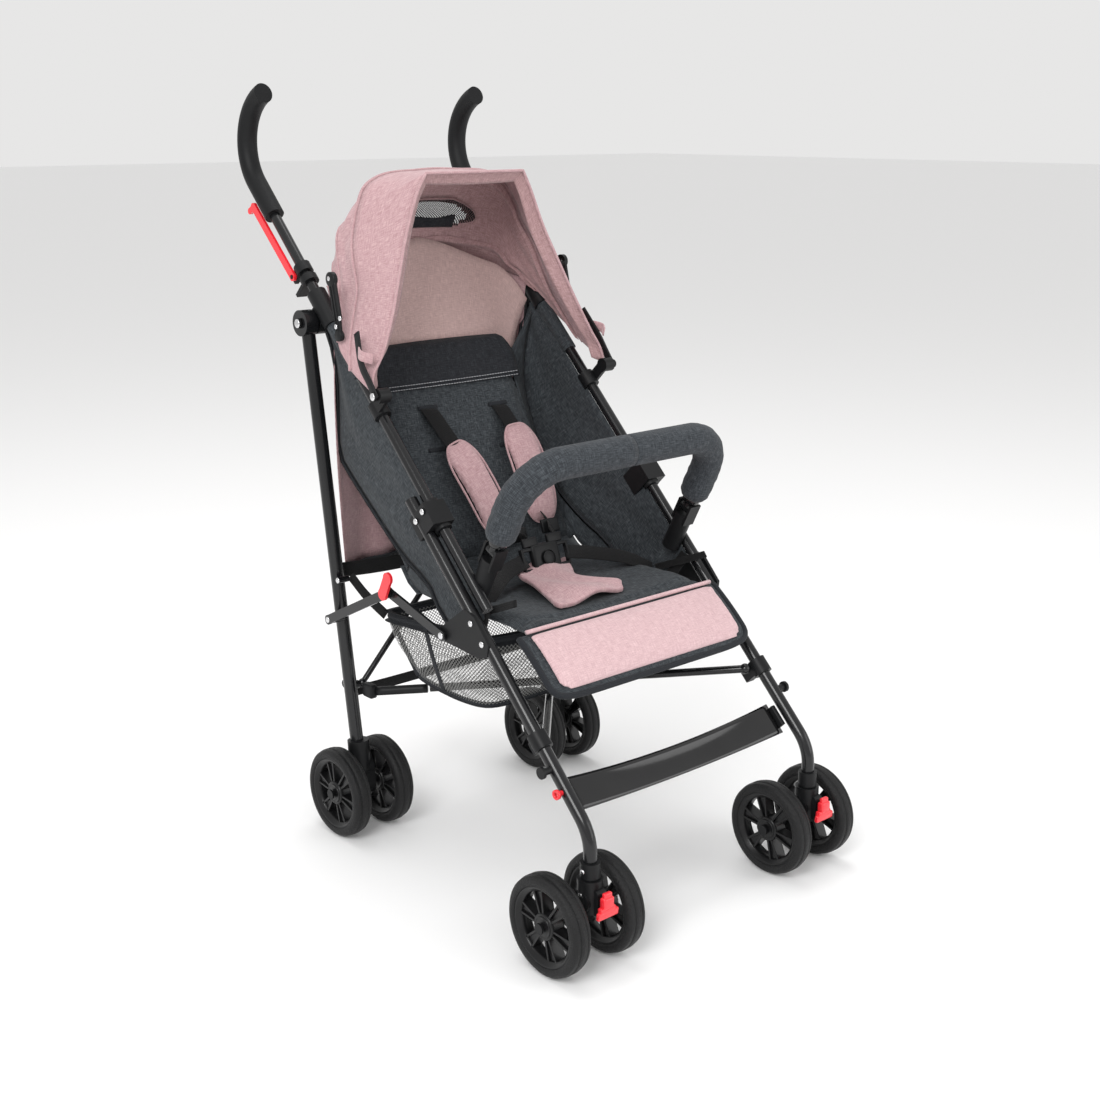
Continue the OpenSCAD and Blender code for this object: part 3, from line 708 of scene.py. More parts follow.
# back drape, hanging behind the backrest between the rear legs
DRAPE = [
    mm([(0, 266, 800), (60, 264, 795), (116, 255, 786), (154, 238, 779), (167, 220, 775), (175, 196, 768)]),
    mm([(0, 264, 738), (60, 261, 737), (116, 250, 735), (152, 231, 733), (165, 211, 736), (172, 199, 750)]),
    mm([(0, 254, 640), (60, 250, 640), (110, 240, 640), (146, 226, 640), (165, 213, 640), (171, 205, 642)]),
    mm([(0, 246, 540), (60, 243, 540), (108, 235, 540), (145, 224, 540), (163, 212, 540), (169, 206, 540)]),
    mm([(0, 240, 450), (60, 237, 450), (108, 230, 450), (143, 219, 450), (162, 208, 450), (168, 202, 450)]),
    mm([(0, 234, 376), (60, 232, 375), (108, 227, 374), (142, 216, 374), (161, 204, 374), (167, 198, 375)]),
]
D = [spline(d, 19) for d in DRAPE]
dr = np.array([spline([d[i] for d in D], 30) for i in range(19)]).transpose(1, 0, 2)
dr = np.array([half_to_full(r) for r in dr])
a = np.arange(dr.shape[1])
for j in range(dr.shape[0]):
    t = j / (dr.shape[0] - 1)
    dr[j, :, 1] += 0.0035 * np.sin(a * 0.75 + j * 0.12) * t + 0.002 * np.sin(a * 0.33 + 1.3) * t
soft(grid("Back drape", dr, PINK, thick=0.0012))
soft(sweep("Drape hem", dr[-1], strap_profile(0.0022, 0.010), BINDING, up=(0, 1, 0)))

# bow strips that carry the canopy front, with tab loops
for s, title, sg in SIDES:
    x = 0.2114
    pts = [(sg * x, 0.047, 0.648), (sg * x, 0.0625, 0.668), (sg * x, 0.080, 0.691),
           (sg * (x - 0.010), 0.103, 0.728)]
    soft(strap(f"{title} bow strip", pts, 0.0125, PLASTIC, up=(1, 0, 0), t=0.0032), "canopy_front")
    pts = [(sg * (x - 0.0055), 0.060, 0.698), (sg * (x + 0.003), 0.075, 0.702),
           (sg * (x - 0.0055), 0.094, 0.706)]
    soft(strap(f"{title} tab loop", pts, 0.014, PINK, up=(sg, 0, 0), t=0.002), "canopy_front")
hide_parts("canopy_front_bow")

# ------------------------------------------------------------------- seat
BACK_HINGE = np.array([0, 0.062, 0.388])
BACK_LEAN = math.radians(24)
BACK_DIR = np.array([0, math.sin(BACK_LEAN), math.cos(BACK_LEAN)])
BACK_OUT = np.array([0, -math.cos(BACK_LEAN), math.sin(BACK_LEAN)])


def on_back(x, up, out=0.0):
    return BACK_HINGE + BACK_DIR * up + BACK_OUT * out + np.array([x, 0, 0])


def cushion(name, f, nu, nv, thickness, mat, crown, edge_r):
    """A crowned pad on a plane: f(u, v, h) gives a point, u and v from -1 to 1."""
    top, bottom = [], []
    us, vs = (np.sin(np.linspace(-1, 1, n) * math.pi / 2) * 0.5 + np.linspace(-1, 1, n) * 0.5
              for n in (nu, nv))
    for v in vs:
        rt, rb = [], []
        for u in us:
            e = (1 - abs(u) ** edge_r) ** 0.5 * (1 - abs(v) ** edge_r) ** 0.5
            h = thickness * 0.5 * e + crown * (1 - u * u) * (1 - v * v)
            rt.append(f(u, v, h))
            rb.append(f(u, v, -thickness * 0.5 * e))
        top.append(rt)
        bottom.append(rb)
    o = join(name, [grid(name, top, mat), grid(name + " underside", bottom, mat, flip=True)])
    bpy.context.view_layer.update()
    return o


SWELL_FRAMES = 20


def vertex_array(mesh, what="co"):
    a = np.empty(len(mesh.vertices) * 3)
    mesh.vertices.foreach_get(what, a)
    return a.reshape(-1, 3)


def swell(o, across, along, cap, voxel, channels=()):
    """Blows a pad up as its stuffing does, with Blender's cloth, and keeps the result as its mesh.
    No point moves further than cap; voxel is the size of the faces before the cloth.
    across and along are the ways of the weave.
    channels are the sewn lines, each as (way, place, width, depth, face)."""
    mat = o.data.materials[0]
    final(o, ("REMESH", dict(mode="VOXEL", voxel_size=voxel, use_smooth_shade=True)))
    before = vertex_array(o.data)
    md = o.modifiers.new("Cloth", "CLOTH")
    cloth = md.settings
    cloth.use_pressure = True
    cloth.uniform_pressure_force = 4.0
    cloth.effector_weights.gravity = 0.0
    cloth.quality = 5
    cloth.mass = 0.25
    md.point_cache.frame_start = 1
    md.point_cache.frame_end = SWELL_FRAMES
    scene = bpy.context.scene
    for frame_no in range(1, SWELL_FRAMES + 1):
        scene.frame_set(frame_no)
    after = vertex_array(o.evaluated_get(bpy.context.evaluated_depsgraph_get()).data)
    o.modifiers.clear()
    scene.frame_set(1)
    move = after - before
    move *= np.minimum(1.0, cap / np.maximum(np.linalg.norm(move, axis=1), 1e-9))[:, None]
    o.data.vertices.foreach_set("co", (before + move).ravel())
    final(o, ("SUBSURF", dict(levels=1)))
    co, no = vertex_array(o.data), vertex_array(o.data, "normal")
    for way, place, width, depth, face in channels:
        t = (co @ np.asarray(way) - place) / width
        front = np.clip(no @ np.asarray(face) * 1.6, 0, 1)
        co -= np.outer(depth * np.exp(-t * t) * front, face)
    o.data.vertices.foreach_set("co", co.ravel())
    o.data.materials.clear()
    o.data.materials.append(mat)
    while o.data.uv_layers:
        o.data.uv_layers.remove(o.data.uv_layers[0])
    layer = o.data.uv_layers.new(name="UVMap")
    corner = np.empty(len(o.data.loops), int)
    o.data.loops.foreach_get("vertex_index", corner)
    uv = np.stack([co @ np.asarray(across), co @ np.asarray(along)], 1)[corner]
    layer.data.foreach_set("uv", uv.ravel())
    smooth_shade(o)
    o.data.update()
    return o


HEAD_W, LOW_W = 0.129, 0.156


def back_point(u, v, h):
    t = (v + 1) / 2
    up = 0.004 + 0.326 * t
    w = LOW_W + (HEAD_W - LOW_W) * min(1.0, t * 1.25)
    if t > 0.88:
        w -= 0.021 * ((t - 0.88) / 0.12) ** 2
    dish = 0.008 * u * u * (0.4 + 0.6 * t)
    return on_back(u * w, up + 0.004 * (1 - u * u) * (1 if t > 0.98 else 0), h - 0.010 + dish)


back = cushion("Backrest cushion", back_point, 33, 45, 0.0145, CHARCOAL, 0.003, 8)
SEAM_UP = float(on_back(0, 0.258) @ BACK_DIR)
swell(back, (1, 0, 0), BACK_DIR, 0.0040, 0.0048,
      channels=((BACK_DIR, SEAM_UP, 0.0035, 0.0022, BACK_OUT),
                ((1, 0, 0), 0.119, 0.003, 0.0012, BACK_OUT), ((1, 0, 0), -0.119, 0.003, 0.0012, BACK_OUT)))
soft(back, "backrest")
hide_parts("backrest_cushion")
# header band with a double stitch line along its lower edge
hdr = []
for t in np.linspace(0.0, 1.0, 12):
    v = 0.575 + 0.418 * t
    tuck = 0.006 if t == 1.0 else 0
    hdr.append([back_point(u, v, 0.0118 + 0.0048 * (1 - u * u) * (1 - v * v) - tuck)
                for u in np.linspace(-0.985, 0.985, 31)])
soft(grid("Header band", hdr, HEADER, thick=0.0016), "backrest")


def stitches(name, path, body):
    """A dashed row of thread along a path."""
    r, length, gap = 0.0006, 0.0032, 0.0016
    path = np.asarray(path, float)
    s = run_of(path)
    out = []
    x = 0.0
    while x + length < s[-1]:
        q = [np.array([np.interp(x + k * length, s, path[:, a]) for a in range(3)]) for k in (0, 0.5, 1)]
        out.append(sweep("Stitch", np.array(q), circle_profile(r, 5), THREAD, up=(0.13, 0.3, 0.9)))
        x += length + gap
    soft(join(name, out), body)


for k, dv in ((1, 0.0), (2, 0.034)):
    line = [back_point(u, 0.583 + dv, 0.0150 + 0.0048 * (1 - u * u) * 0.6)
            for u in np.linspace(-0.97, 0.97, 40)]
    stitches(f"Header stitches {k}", line, "backrest")
# slits for the shoulder straps: across and up the backrest
SLIT = {"right": (-0.052, 0.231), "left": (0.074, 0.222)}
for s, title, sg in SIDES:
    sx, su = SLIT[s]
    for up in (su - 0.060, su + 0.002):
        pth = [on_back(sx + dx, up, 0.0060) for dx in np.linspace(-0.017, 0.017, 6)]
        soft(sweep(f"{title} strap slit {'low' if up < su else 'high'}", np.array(pth),
                   strap_profile(0.006, 0.002), BINDING, up=tuple(BACK_OUT)), "backrest")

# seat base
SEAT_TOP = 0.383


def seat_point(u, v, h):
    y = -0.070 + 0.128 * v
    z = SEAT_TOP - 0.012 + h - 0.006 * (1 - u * u) * (1 - v * v) + 0.010 * u * u
    w = 0.163 - 0.004 * v
    if v < -0.9:
        z -= 0.010 * ((-v - 0.9) / 0.1) ** 2
    return np.array([u * w, y, z])


seat = cushion("Seat cushion", seat_point, 33, 29, 0.0145, CHARCOAL, 0.002, 8)
swell(seat, (1, 0, 0), (0, 1, 0), 0.0042, 0.0048,
      channels=(((0, 1, 0), -0.175, 0.004, 0.0030, (0, 0, 1)),))
soft(seat)
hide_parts("seat_cushion")

# side panels: from the handle tube in to the backrest and down to the seat
for s, title, sg in SIDES:
    outer = [on_tube(z, TUBE_X - 0.006) + np.array([0, 0.004, -0.004]) for z in np.linspace(0.742, 0.408, 22)]
    back_edge = mm([(181, 203, 722), (170, 205, 690), (163, 206, 640), (160, 212, 590), (160, 210, 540),
                    (160, 168, 502),
                    (161, 112, 460), (163, 58, 424), (164, 0, 396), (165, -30, 360), (166, -70, 346),
                    (176, -118, 366)])
    inner = spline(back_edge, 22)
    rows_ = []
    for k in range(22):
        a0, b0 = outer[k], inner[k]
        line = []
        for t in np.linspace(0, 1, 16):
            p = a0 + (b0 - a0) * t
            p = p + np.array([0.006 * math.sin(t * math.pi) * math.sin(min(1, k / 21 * 1.3) * math.pi)
                              + 0.0022 * math.sin(t * 11 + k * 0.55) * math.sin(t * math.pi), 0, 0])
            line.append(p * np.array([sg, 1, 1]))
        rows_.append(line)
    o = grid(f"{title} side panel cloth", rows_, CHARCOAL, thick=0.0018)
    soft(o, "seat")
    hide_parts(f"{s}_side_panel")
    # gusset between the backrest's edge and the panel
    g0 = np.array([back_point(sg * (0.93 + 0.035 * t), -1 + 1.78 * t, 0.001) for t in np.linspace(0, 1, 20)])
    g1 = spline(mm([(164, 52, 412), (162, 128, 480), (160, 172, 560), (160, 190, 620), (166, 190, 680),
                    (176, 189, 718)]) * np.array([sg, 1, 1]), 20)
    gusset = [g0 + (g1 - g0) * t + np.array([0, 0.004, -0.003]) * math.sin(t * math.pi)
              for t in np.linspace(0, 1, 7)]
    soft(grid(f"{title} back gusset", gusset, CHARCOAL, thick=0.0012))
    # sleeve that wraps the tube beside the head
    path = [on_tube(z, sg * TUBE_X) for z in np.linspace(0.741, 0.668, 12)]
    wrap = circle_profile(0.0102, 20) * (1 + 0.03 * np.sin(np.arange(20) * 2.1))[:, None]
    ride(sweep(f"{title} panel sleeve", path, wrap, CHARCOAL, up=(1, 0, 0)), f"{s}_side")
    # tape along the panel's lower and back edge
    edge_path = np.array([r[-1] for r in rows_])
    soft(sweep(f"{title} panel binding", edge_path, strap_profile(0.0030, 0.009), BINDING, up=(1, 0, 0)))

# cloth that closes the seat to the panels and to the backrest
for s, title, sg in SIDES:
    high = spline(mm([(162, 98, 452), (163, 58, 425), (164, 18, 404), (164, -8, 388), (165, -24, 372)]), 14)
    low_ = spline(mm([(150, 88, 428), (154, 62, 392), (156, 34, 377), (158, 4, 375), (161, -22, 372)]), 14)
    gusset = [(high + (low_ - high) * t) * np.array([sg, 1, 1]) for t in np.linspace(0, 1, 6)]
    soft(grid(f"{title} seat gusset", gusset, CHARCOAL, thick=0.0012))
across = np.linspace(-1, 1, 17)
joint = [[on_back(u * 0.155, 0.022, -0.012) for u in across], [(u * 0.157, 0.062, 0.384) for u in across],
         [(u * 0.158, 0.040, 0.373) for u in across]]
soft(grid("Seat joint cloth", joint, CHARCOAL, thick=0.0012))

# ------------------------------------------------------------------- leg rest
LEG_SLOPE = math.radians(41)


def leg_point(u, v, h):
    """v = -1 at the seat's front edge, 1 at the lower edge."""
    t = (v + 1) / 2
    a = LEG_SLOPE
    run = 0.002 + 0.093 * t
    w = 0.168 - 0.016 * max(0.0, (t - 0.72) / 0.28) ** 3
    curl = 0.003 * math.cos(v * 1.4)
    return np.array([u * w, -0.197 - run * math.cos(a) - math.sin(a) * (h + curl),
                     0.3795 - run * math.sin(a) + math.cos(a) * (h + curl)])


LEG_ALONG = (0, -math.cos(LEG_SLOPE), -math.sin(LEG_SLOPE))


def leg_base(u, v, h):
    """The dark underside and border of the leg rest."""
    p = leg_point(u, v, h - 0.0045)
    t = (v + 1) / 2
    grow = 0.0078 * (1 - 0.35 * max(0.0, (t - 0.8) / 0.2) ** 2)
    return p + np.array([u * grow, 0, 0]) + np.array(LEG_ALONG) * 0.0042 * t


o = cushion("Leg rest border", leg_base, 37, 21, 0.0085, CHARCOAL, 0.001, 10)
soft(o, "leg_rest")
o = cushion("Leg rest panel", leg_point, 37, 21, 0.0085, PALE, 0.003, 10)
swell(o, (1, 0, 0), LEG_ALONG, 0.0026, 0.0040)
soft(o, "leg_rest")
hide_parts("leg_rest")
edge = ([leg_base(-1.005, v, 0.0) for v in np.linspace(-0.97, 0.80, 14)]
        + [leg_base(u, 0.995 - 0.10 * abs(u) ** 14, 0.0) for u in np.linspace(-0.985, 0.985, 34)]
        + [leg_base(1.005, v, 0.0) for v in np.linspace(0.80, -0.97, 14)])
soft(sweep("Leg rest binding", spline(edge, 90), circle_profile(0.0042, 10), BINDING, up=(0, -0.66, 0.75)),
     "leg_rest")
soft(sweep("Seat front piping", [leg_point(u, -1.02, 0.002) for u in np.linspace(-0.99, 0.99, 30)],
           circle_profile(0.0030, 8), PALE, up=(0, -0.66, 0.75)), "leg_rest")

# ------------------------------------------------------------------- harness


def pad_shape(centre, along, normal, width):
    """Gives f(u, v, h), the points of a soft, slightly bent pad with a rounded outline."""
    A, N = Vector(along).normalized(), Vector(normal).normalized()
    A = (A - N * A.dot(N)).normalized()
    S = A.cross(N)

    def f(u, v, h):
        across = u * (width / 2 * (1 - abs(v) ** 5 * 0.28))
        down = v * PAD_LENGTH / 2 * (1 - abs(u) ** 5 * 0.10)
        return np.array(Vector(centre) + S * across + A * down + N * (h + PAD_BEND * (1 - v * v)))
    return f


PAD_LENGTH, PAD_BEND, PAD_THICK = 0.152, 0.006, 0.0115
PAD_C = {"right": on_back(-0.013, 0.102, 0.020), "left": on_back(0.086, 0.112, 0.020)}
PAD_TILT = {"right": -0.30, "left": -0.05}
PAD_A = {}
for s, title, sg in SIDES:
    a = BACK_DIR + np.array([PAD_TILT[s], 0, 0])
    PAD_A[s] = a
    pw = {"right": 0.059, "left": 0.064}[s]
    o = cushion(f"{title} shoulder pad", pad_shape(PAD_C[s], a, BACK_OUT, pw - 0.002), 15, 27, PAD_THICK,
                PINK, PAD_THICK * 0.12, 5)
    run = a / np.linalg.norm(a)
    swell(o, np.cross(run, BACK_OUT), run, 0.0028, 0.0040)
    soft(o, "backrest")
    rim = [pad_shape(PAD_C[s], a, BACK_OUT, pw)(*(math.copysign(abs(x) ** 0.42, x) * 0.985
                                                  for x in (math.cos(t), math.sin(t))), 0.0)
           for t in np.linspace(0, 2 * math.pi, 60, endpoint=False)]
    soft(sweep(f"{title} shoulder pad piping", rim, circle_profile(0.0017, 7), PINK, up=tuple(BACK_OUT),
               closed=True), "backrest")
    # straps: from the slit down under the pad
    sx, su = SLIT[s]
    end = np.array(PAD_C[s]) + np.array(a) * 0.060
    pts = [on_back(sx, su, 0.004), on_back(sx, su - 0.008, 0.0115), (on_back(sx, su - 0.02, 0.018) + end) / 2,
           end]
    soft(strap(f"{title} shoulder strap top", pts, 0.026, STRAP, up=tuple(BACK_OUT), n=16), "backrest")
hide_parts("shoulder_pads")

BUCKLE = np.array([0.0, -0.044, 0.412])
BUCKLE_LEAN = math.radians(20)
BN = np.array([0, -math.cos(BUCKLE_LEAN), math.sin(BUCKLE_LEAN)])
BU = np.array([0, math.sin(BUCKLE_LEAN), math.cos(BUCKLE_LEAN)])
brot = Matrix.Rotation(-BUCKLE_LEAN, 4, "X")


def at_buckle(x, up, out):
    return BUCKLE + np.array([x, 0, 0]) + BU * up + BN * out


BUCKLE_BLOCKS = [  # size, then across, up and out from the buckle's middle, then the edge radius
    ((0.028, 0.009, 0.017), (0.002, -0.031, 0.005), 0.003),
    ((0.015, 0.008, 0.014), (0, -0.020, 0.003), 0.002),
    ((0.048, 0.012, 0.038), (0, 0.003, 0.001), 0.0045), ((0.038, 0.015, 0.022), (0, -0.014, 0.000), 0.004)]
for sg in (-1, 1):
    for up in (0.0165, -0.0125):
        BUCKLE_BLOCKS.append(((0.020, 0.007, 0.005), (sg * 0.031, up, 0.001), 0.0015))
    BUCKLE_BLOCKS.append(((0.004, 0.008, 0.034), (sg * 0.040, 0.0020, 0.001), 0.0015))
    BUCKLE_BLOCKS.append(((0.026, 0.006, 0.013), (sg * 0.022, 0.026, 0.001), 0.002))
parts = [rounded_box("b", size, at_buckle(*place), PLASTIC, edge_r, brot)
         for size, place, edge_r in BUCKLE_BLOCKS]
parts.append(lathe("b", [(0.0, 0.0112), (0.0025, 0.0112), (0.003, 0.0104)], PLASTIC, (0, 0, 0), "Y", 32))
parts[-1].data.transform(Matrix.Translation(Vector(at_buckle(0, 0, 0.0095))) @ brot)
buckle = join("Buckle", parts)
ride(buckle, "seat")
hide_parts("buckle")
btn = lathe("Buckle button", [(0, 0.0098), (-0.0024, 0.0098), (-0.0032, 0.0086), (-0.0026, 0.0001)], PLASTIC,
            (0, 0, 0), "Y", 32)
btn.data.transform(Matrix.Translation(Vector(at_buckle(0, 0, 0.0075))) @ brot)
ride(btn, "buckle_button")
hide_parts("buckle_button")

for s, title, sg in SIDES:
    # strap from the pad down to the buckle, with a slider
    p0 = np.array(PAD_C[s]) - np.array(PAD_A[s]) * 0.066
    p1 = at_buckle(sg * 0.022, 0.030, 0.002)
    soft(strap(f"{title} shoulder strap", [p0, p0 * 0.6 + p1 * 0.4 + np.array([0, -0.006, 0]), p1], 0.022,
               STRAP, up=tuple(BN), n=14))
    mid = p0 * 0.45 + p1 * 0.55 + BN * 0.003
    soft(rounded_box(f"{title} strap slider", (0.031, 0.006, 0.020), mid, PLASTIC, 0.002, brot))
    # hip strap, from the buckle's tongue to the side of the seat
    q = [at_buckle(sg * 0.036, 0.003, 0.002), np.array([sg * 0.075, -0.052, 0.4085]),
         np.array([sg * 0.120, -0.078, 0.3985]), np.array([sg * 0.1585, -0.094, 0.378])]
    soft(strap(f"{title} hip strap", q, 0.022, STRAP, up=(0, -0.75, 0.66), n=24))
    q = [np.array([sg * 0.161, -0.100, 0.381]), np.array([sg * 0.168, -0.140, 0.397]),
         np.array([sg * 0.171, -0.186, 0.4165])]
    soft(strap(f"{title} loose strap end", q, 0.010, STRAP, up=(sg, 0, 0.3), n=12))
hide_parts("harness_straps")

# crotch pad: wide at the front, narrow under the buckle, where it folds up
CR = [(-0.168, -0.080, 0.041, 0.3870), (-0.158, -0.082, 0.047, 0.3895), (-0.140, -0.074, 0.049, 0.3915),
      (-0.120, -0.068, 0.022, 0.3925),
      (-0.090, -0.063, 0.016, 0.3945), (-0.062, -0.058, 0.034, 0.3975), (-0.034, -0.044, 0.046, 0.4000)]
cr = []
for y, x0, x1, z in CR:
    cr.append([np.array([x0 + (x1 - x0) * k, y + 0.010 * k * (1 if y < -0.15 else 0),
                         z + 0.004 * math.sin(k * math.pi) + 0.003 * math.sin(k * 9 + y * 60)])
               for k in np.linspace(0, 1, 15)])
cr = np.array([spline([row[i] for row in cr], 26) for i in range(15)]).transpose(1, 0, 2)
crotch = grid("Crotch pad", cr, PINK, thick=0.007)
final(crotch, ("BEVEL", dict(width=0.002, segments=2)))
smooth_shade(crotch)
soft(crotch)
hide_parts("crotch_pad")

# ------------------------------------------------------------------- bumper
BUMPER_LEAN = math.radians(27)
BUMPER_UP = np.array([0, -math.sin(BUMPER_LEAN), math.cos(BUMPER_LEAN)])
BUMPER_OUT = np.array([0, -math.cos(BUMPER_LEAN), -math.sin(BUMPER_LEAN)])


def in_bumper(x, up):
    return np.array([x, -0.148, 0.477]) + BUMPER_UP * up


REACH, CORNER, BX = 0.127, 0.062, 0.174
for s, title, sg in SIDES:
    path = [in_bumper(sg * BX, u) for u in np.linspace(0.020, REACH - CORNER, 8)]
    path += [in_bumper(sg * (BX - CORNER + CORNER * math.cos(a)),
                       REACH - CORNER + CORNER * math.sin(a)) for a in np.linspace(0, math.pi / 2, 16)[1:]]
    path += [in_bumper(sg * x, REACH) for x in np.linspace(BX - CORNER, 0.0004, 14)[1:]]
    k = np.ones(len(path))
    k[0], k[1] = 0.80, 0.97
    for i in range(2, 8):
        k[i] = 1.0 + 0.025 * math.sin(i * 2.3)
    # slight compression creases at the inner side of the bend
    for i in range(9, 22):
        k[i] = 1.0 + 0.018 * math.sin(i * 1.9)
    o = sweep(f"{title} bumper foam", path, circle_profile(0.0210, 28), FOAMCLOTH, up=BUMPER_OUT, scale=k)
    ride(o, f"{s}_bumper")
    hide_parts(f"{s}_bumper_pad")
    seam = path + (BUMPER_OUT * -0.0208)[None, :] * k[:, None]
    o = sweep(f"{title} bumper seam", seam, circle_profile(0.0009, 6), FOAMCLOTH, up=(0, 0.3, 0.9))
    ride(o, f"{s}_bumper")
    # collar under the foam
    o = sweep(f"{title} bumper collar", [in_bumper(sg * BX, u) for u in (0.0105, 0.0125, 0.019, 0.0215)],
              circle_profile(0.0128, 24), SHINY, up=(1, 0, 0), scale=[0.9, 1, 1, 0.92])
    ride(o, f"{s}_bumper")

# ------------------------------------------------------------------- basket
BT = mm([(0, 132, 318), (60, 131, 318), (110, 129, 319), (145, 122, 322), (160, 104, 326), (163, 60, 330),
         (163, 10, 334), (163, -40, 338), (163, -92, 342),
         (150, -112, 343), (110, -116, 341), (60, -117, 339), (0, -117, 338)])
BB = mm([(0, 92, 238), (52, 92, 238), (95, 90, 238), (122, 84, 239), (134, 68, 240), (137, 38, 238),
         (137, 4, 236), (137, -30, 236), (134, -66, 238),
         (122, -84, 240), (90, -88, 240), (50, -89, 240), (0, -89, 240)])
t_, b_ = spline(BT, 60), spline(BB, 60)
loop_t = np.vstack([t_, (t_ * np.array([-1, 1, 1]))[::-1][1:-1]])
loop_b = np.vstack([b_, (b_ * np.array([-1, 1, 1]))[::-1][1:-1]])
walls = []
for t in np.linspace(0, 1, 12):
    ring = loop_t + (loop_b - loop_t) * t
    bulge = 0.006 * math.sin(t * math.pi)
    d = ring - np.array([0, 0.005, 0])
    d[:, 2] = 0
    d /= np.linalg.norm(d, axis=1)[:, None]
    a = np.arange(len(ring))
    ring = ring + d * (bulge + 0.003 * np.sin(a * 0.45 + t * 4) * math.sin(t * math.pi))[:, None]
    walls.append(np.vstack([ring, ring[:1]]))
basket = grid("Basket net sides", walls, NET)
soft(basket)
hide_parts("basket")
floor = []
m2 = len(b_)
for i in range(m2):
    x, y, z = walls[-1][i]
    dip = 0.010 * math.sin(math.pi * i / (m2 - 1))
    floor.append([np.array([x * k, y, z - dip * (1 - k * k)]) for k in np.linspace(-1, 1, 25)])
soft(grid("Basket net floor", floor, NET))
soft(sweep("Basket top binding", loop_t, strap_profile(0.0028, 0.013), BINDING, up=(0, 0, 1), closed=True))
soft(sweep("Basket bottom binding", walls[-1][:-1], strap_profile(0.0026, 0.007), BINDING, up=(0, 0, 1),
           closed=True))
for s, title, sg in SIDES:
    # two tapes down the sides, then two hanging straps up to the frame
    for nm, mat, w, lean, t, pts in (
            ("rear tape", BINDING, 0.009, 0.3, 0.002, [(0.157, 0.108, 0.326), (0.146, 0.092, 0.285),
                                                       (0.135, 0.072, 0.241)]),
            ("middle tape", BINDING, 0.009, 0.3, 0.002, [(0.1665, 0.012, 0.334), (0.1535, 0.012, 0.285),
                                                         (0.1385, 0.010, 0.238)]),
            ("front hanger", STRAP, 0.016, 0.2, 0.0018, [(0.160, -0.100, 0.342), (0.170, -0.120, 0.372),
                                                         (0.180, -0.139, 0.405)]),
            ("rear hanger", STRAP, 0.016, 0.2, 0.0018, [(0.160, 0.112, 0.326), (0.172, 0.142, 0.350),
                                                        (0.182, 0.165, 0.376)])):
        soft(strap(f"{title} basket {nm}", np.array(pts) * (sg, 1, 1), w, mat, up=(sg, 0, lean), t=t, n=10))

# webbing across the rear legs
for nm, z, sagz, w in (("upper", 0.378, 0.010, 0.022), ("lower", 0.198, 0.004, 0.016)):
    e = rear_leg(z)
    y = e[1] + 0.012
    pts = [(-e[0] + 0.008, y, z), (-0.1, y + 0.004, z - sagz * 0.75), (0, y + 0.006, z - sagz),
           (0.1, y + 0.004, z - sagz * 0.75), (e[0] - 0.008, y, z)]
    o = strap(f"Rear strap {nm}", pts, w, STRAP, up=(0, 1, 0), n=40)
    # sewn round the right leg; it rides on that leg
    ride(o, "right_rear_leg")
    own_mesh(o)

# ------------------------------------------------------------------- footrest
foot = []
for t in np.linspace(-1, 1, 9):
    row = []
    for x in np.linspace(-0.186, 0.186, 41):
        u = x / 0.186
        pinch = 1.05 - 0.12 * (1 - u * u)
        y = -0.3075 + t * 0.0150 * pinch
        z = 0.2060 + t * 0.0150 * pinch - 0.007 * (1 - u * u) - 0.003 * (1 - t * t) * (1 - u * u)
        row.append((x, y, z))
    foot.append(row)
band = grid("Footrest band", foot, SHINY, thick=0.0022)
soft(band)
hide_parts("footrest")
for s, title, sg in SIDES:
    o = rounded_box(f"{title} footrest clip", (0.007, 0.016, 0.030), (sg * 0.1880, -0.3075, 0.2070), PLASTIC,
                    0.0015, Matrix.Rotation(math.radians(-45), 4, "X"))
    ride(o, f"{s}_side")

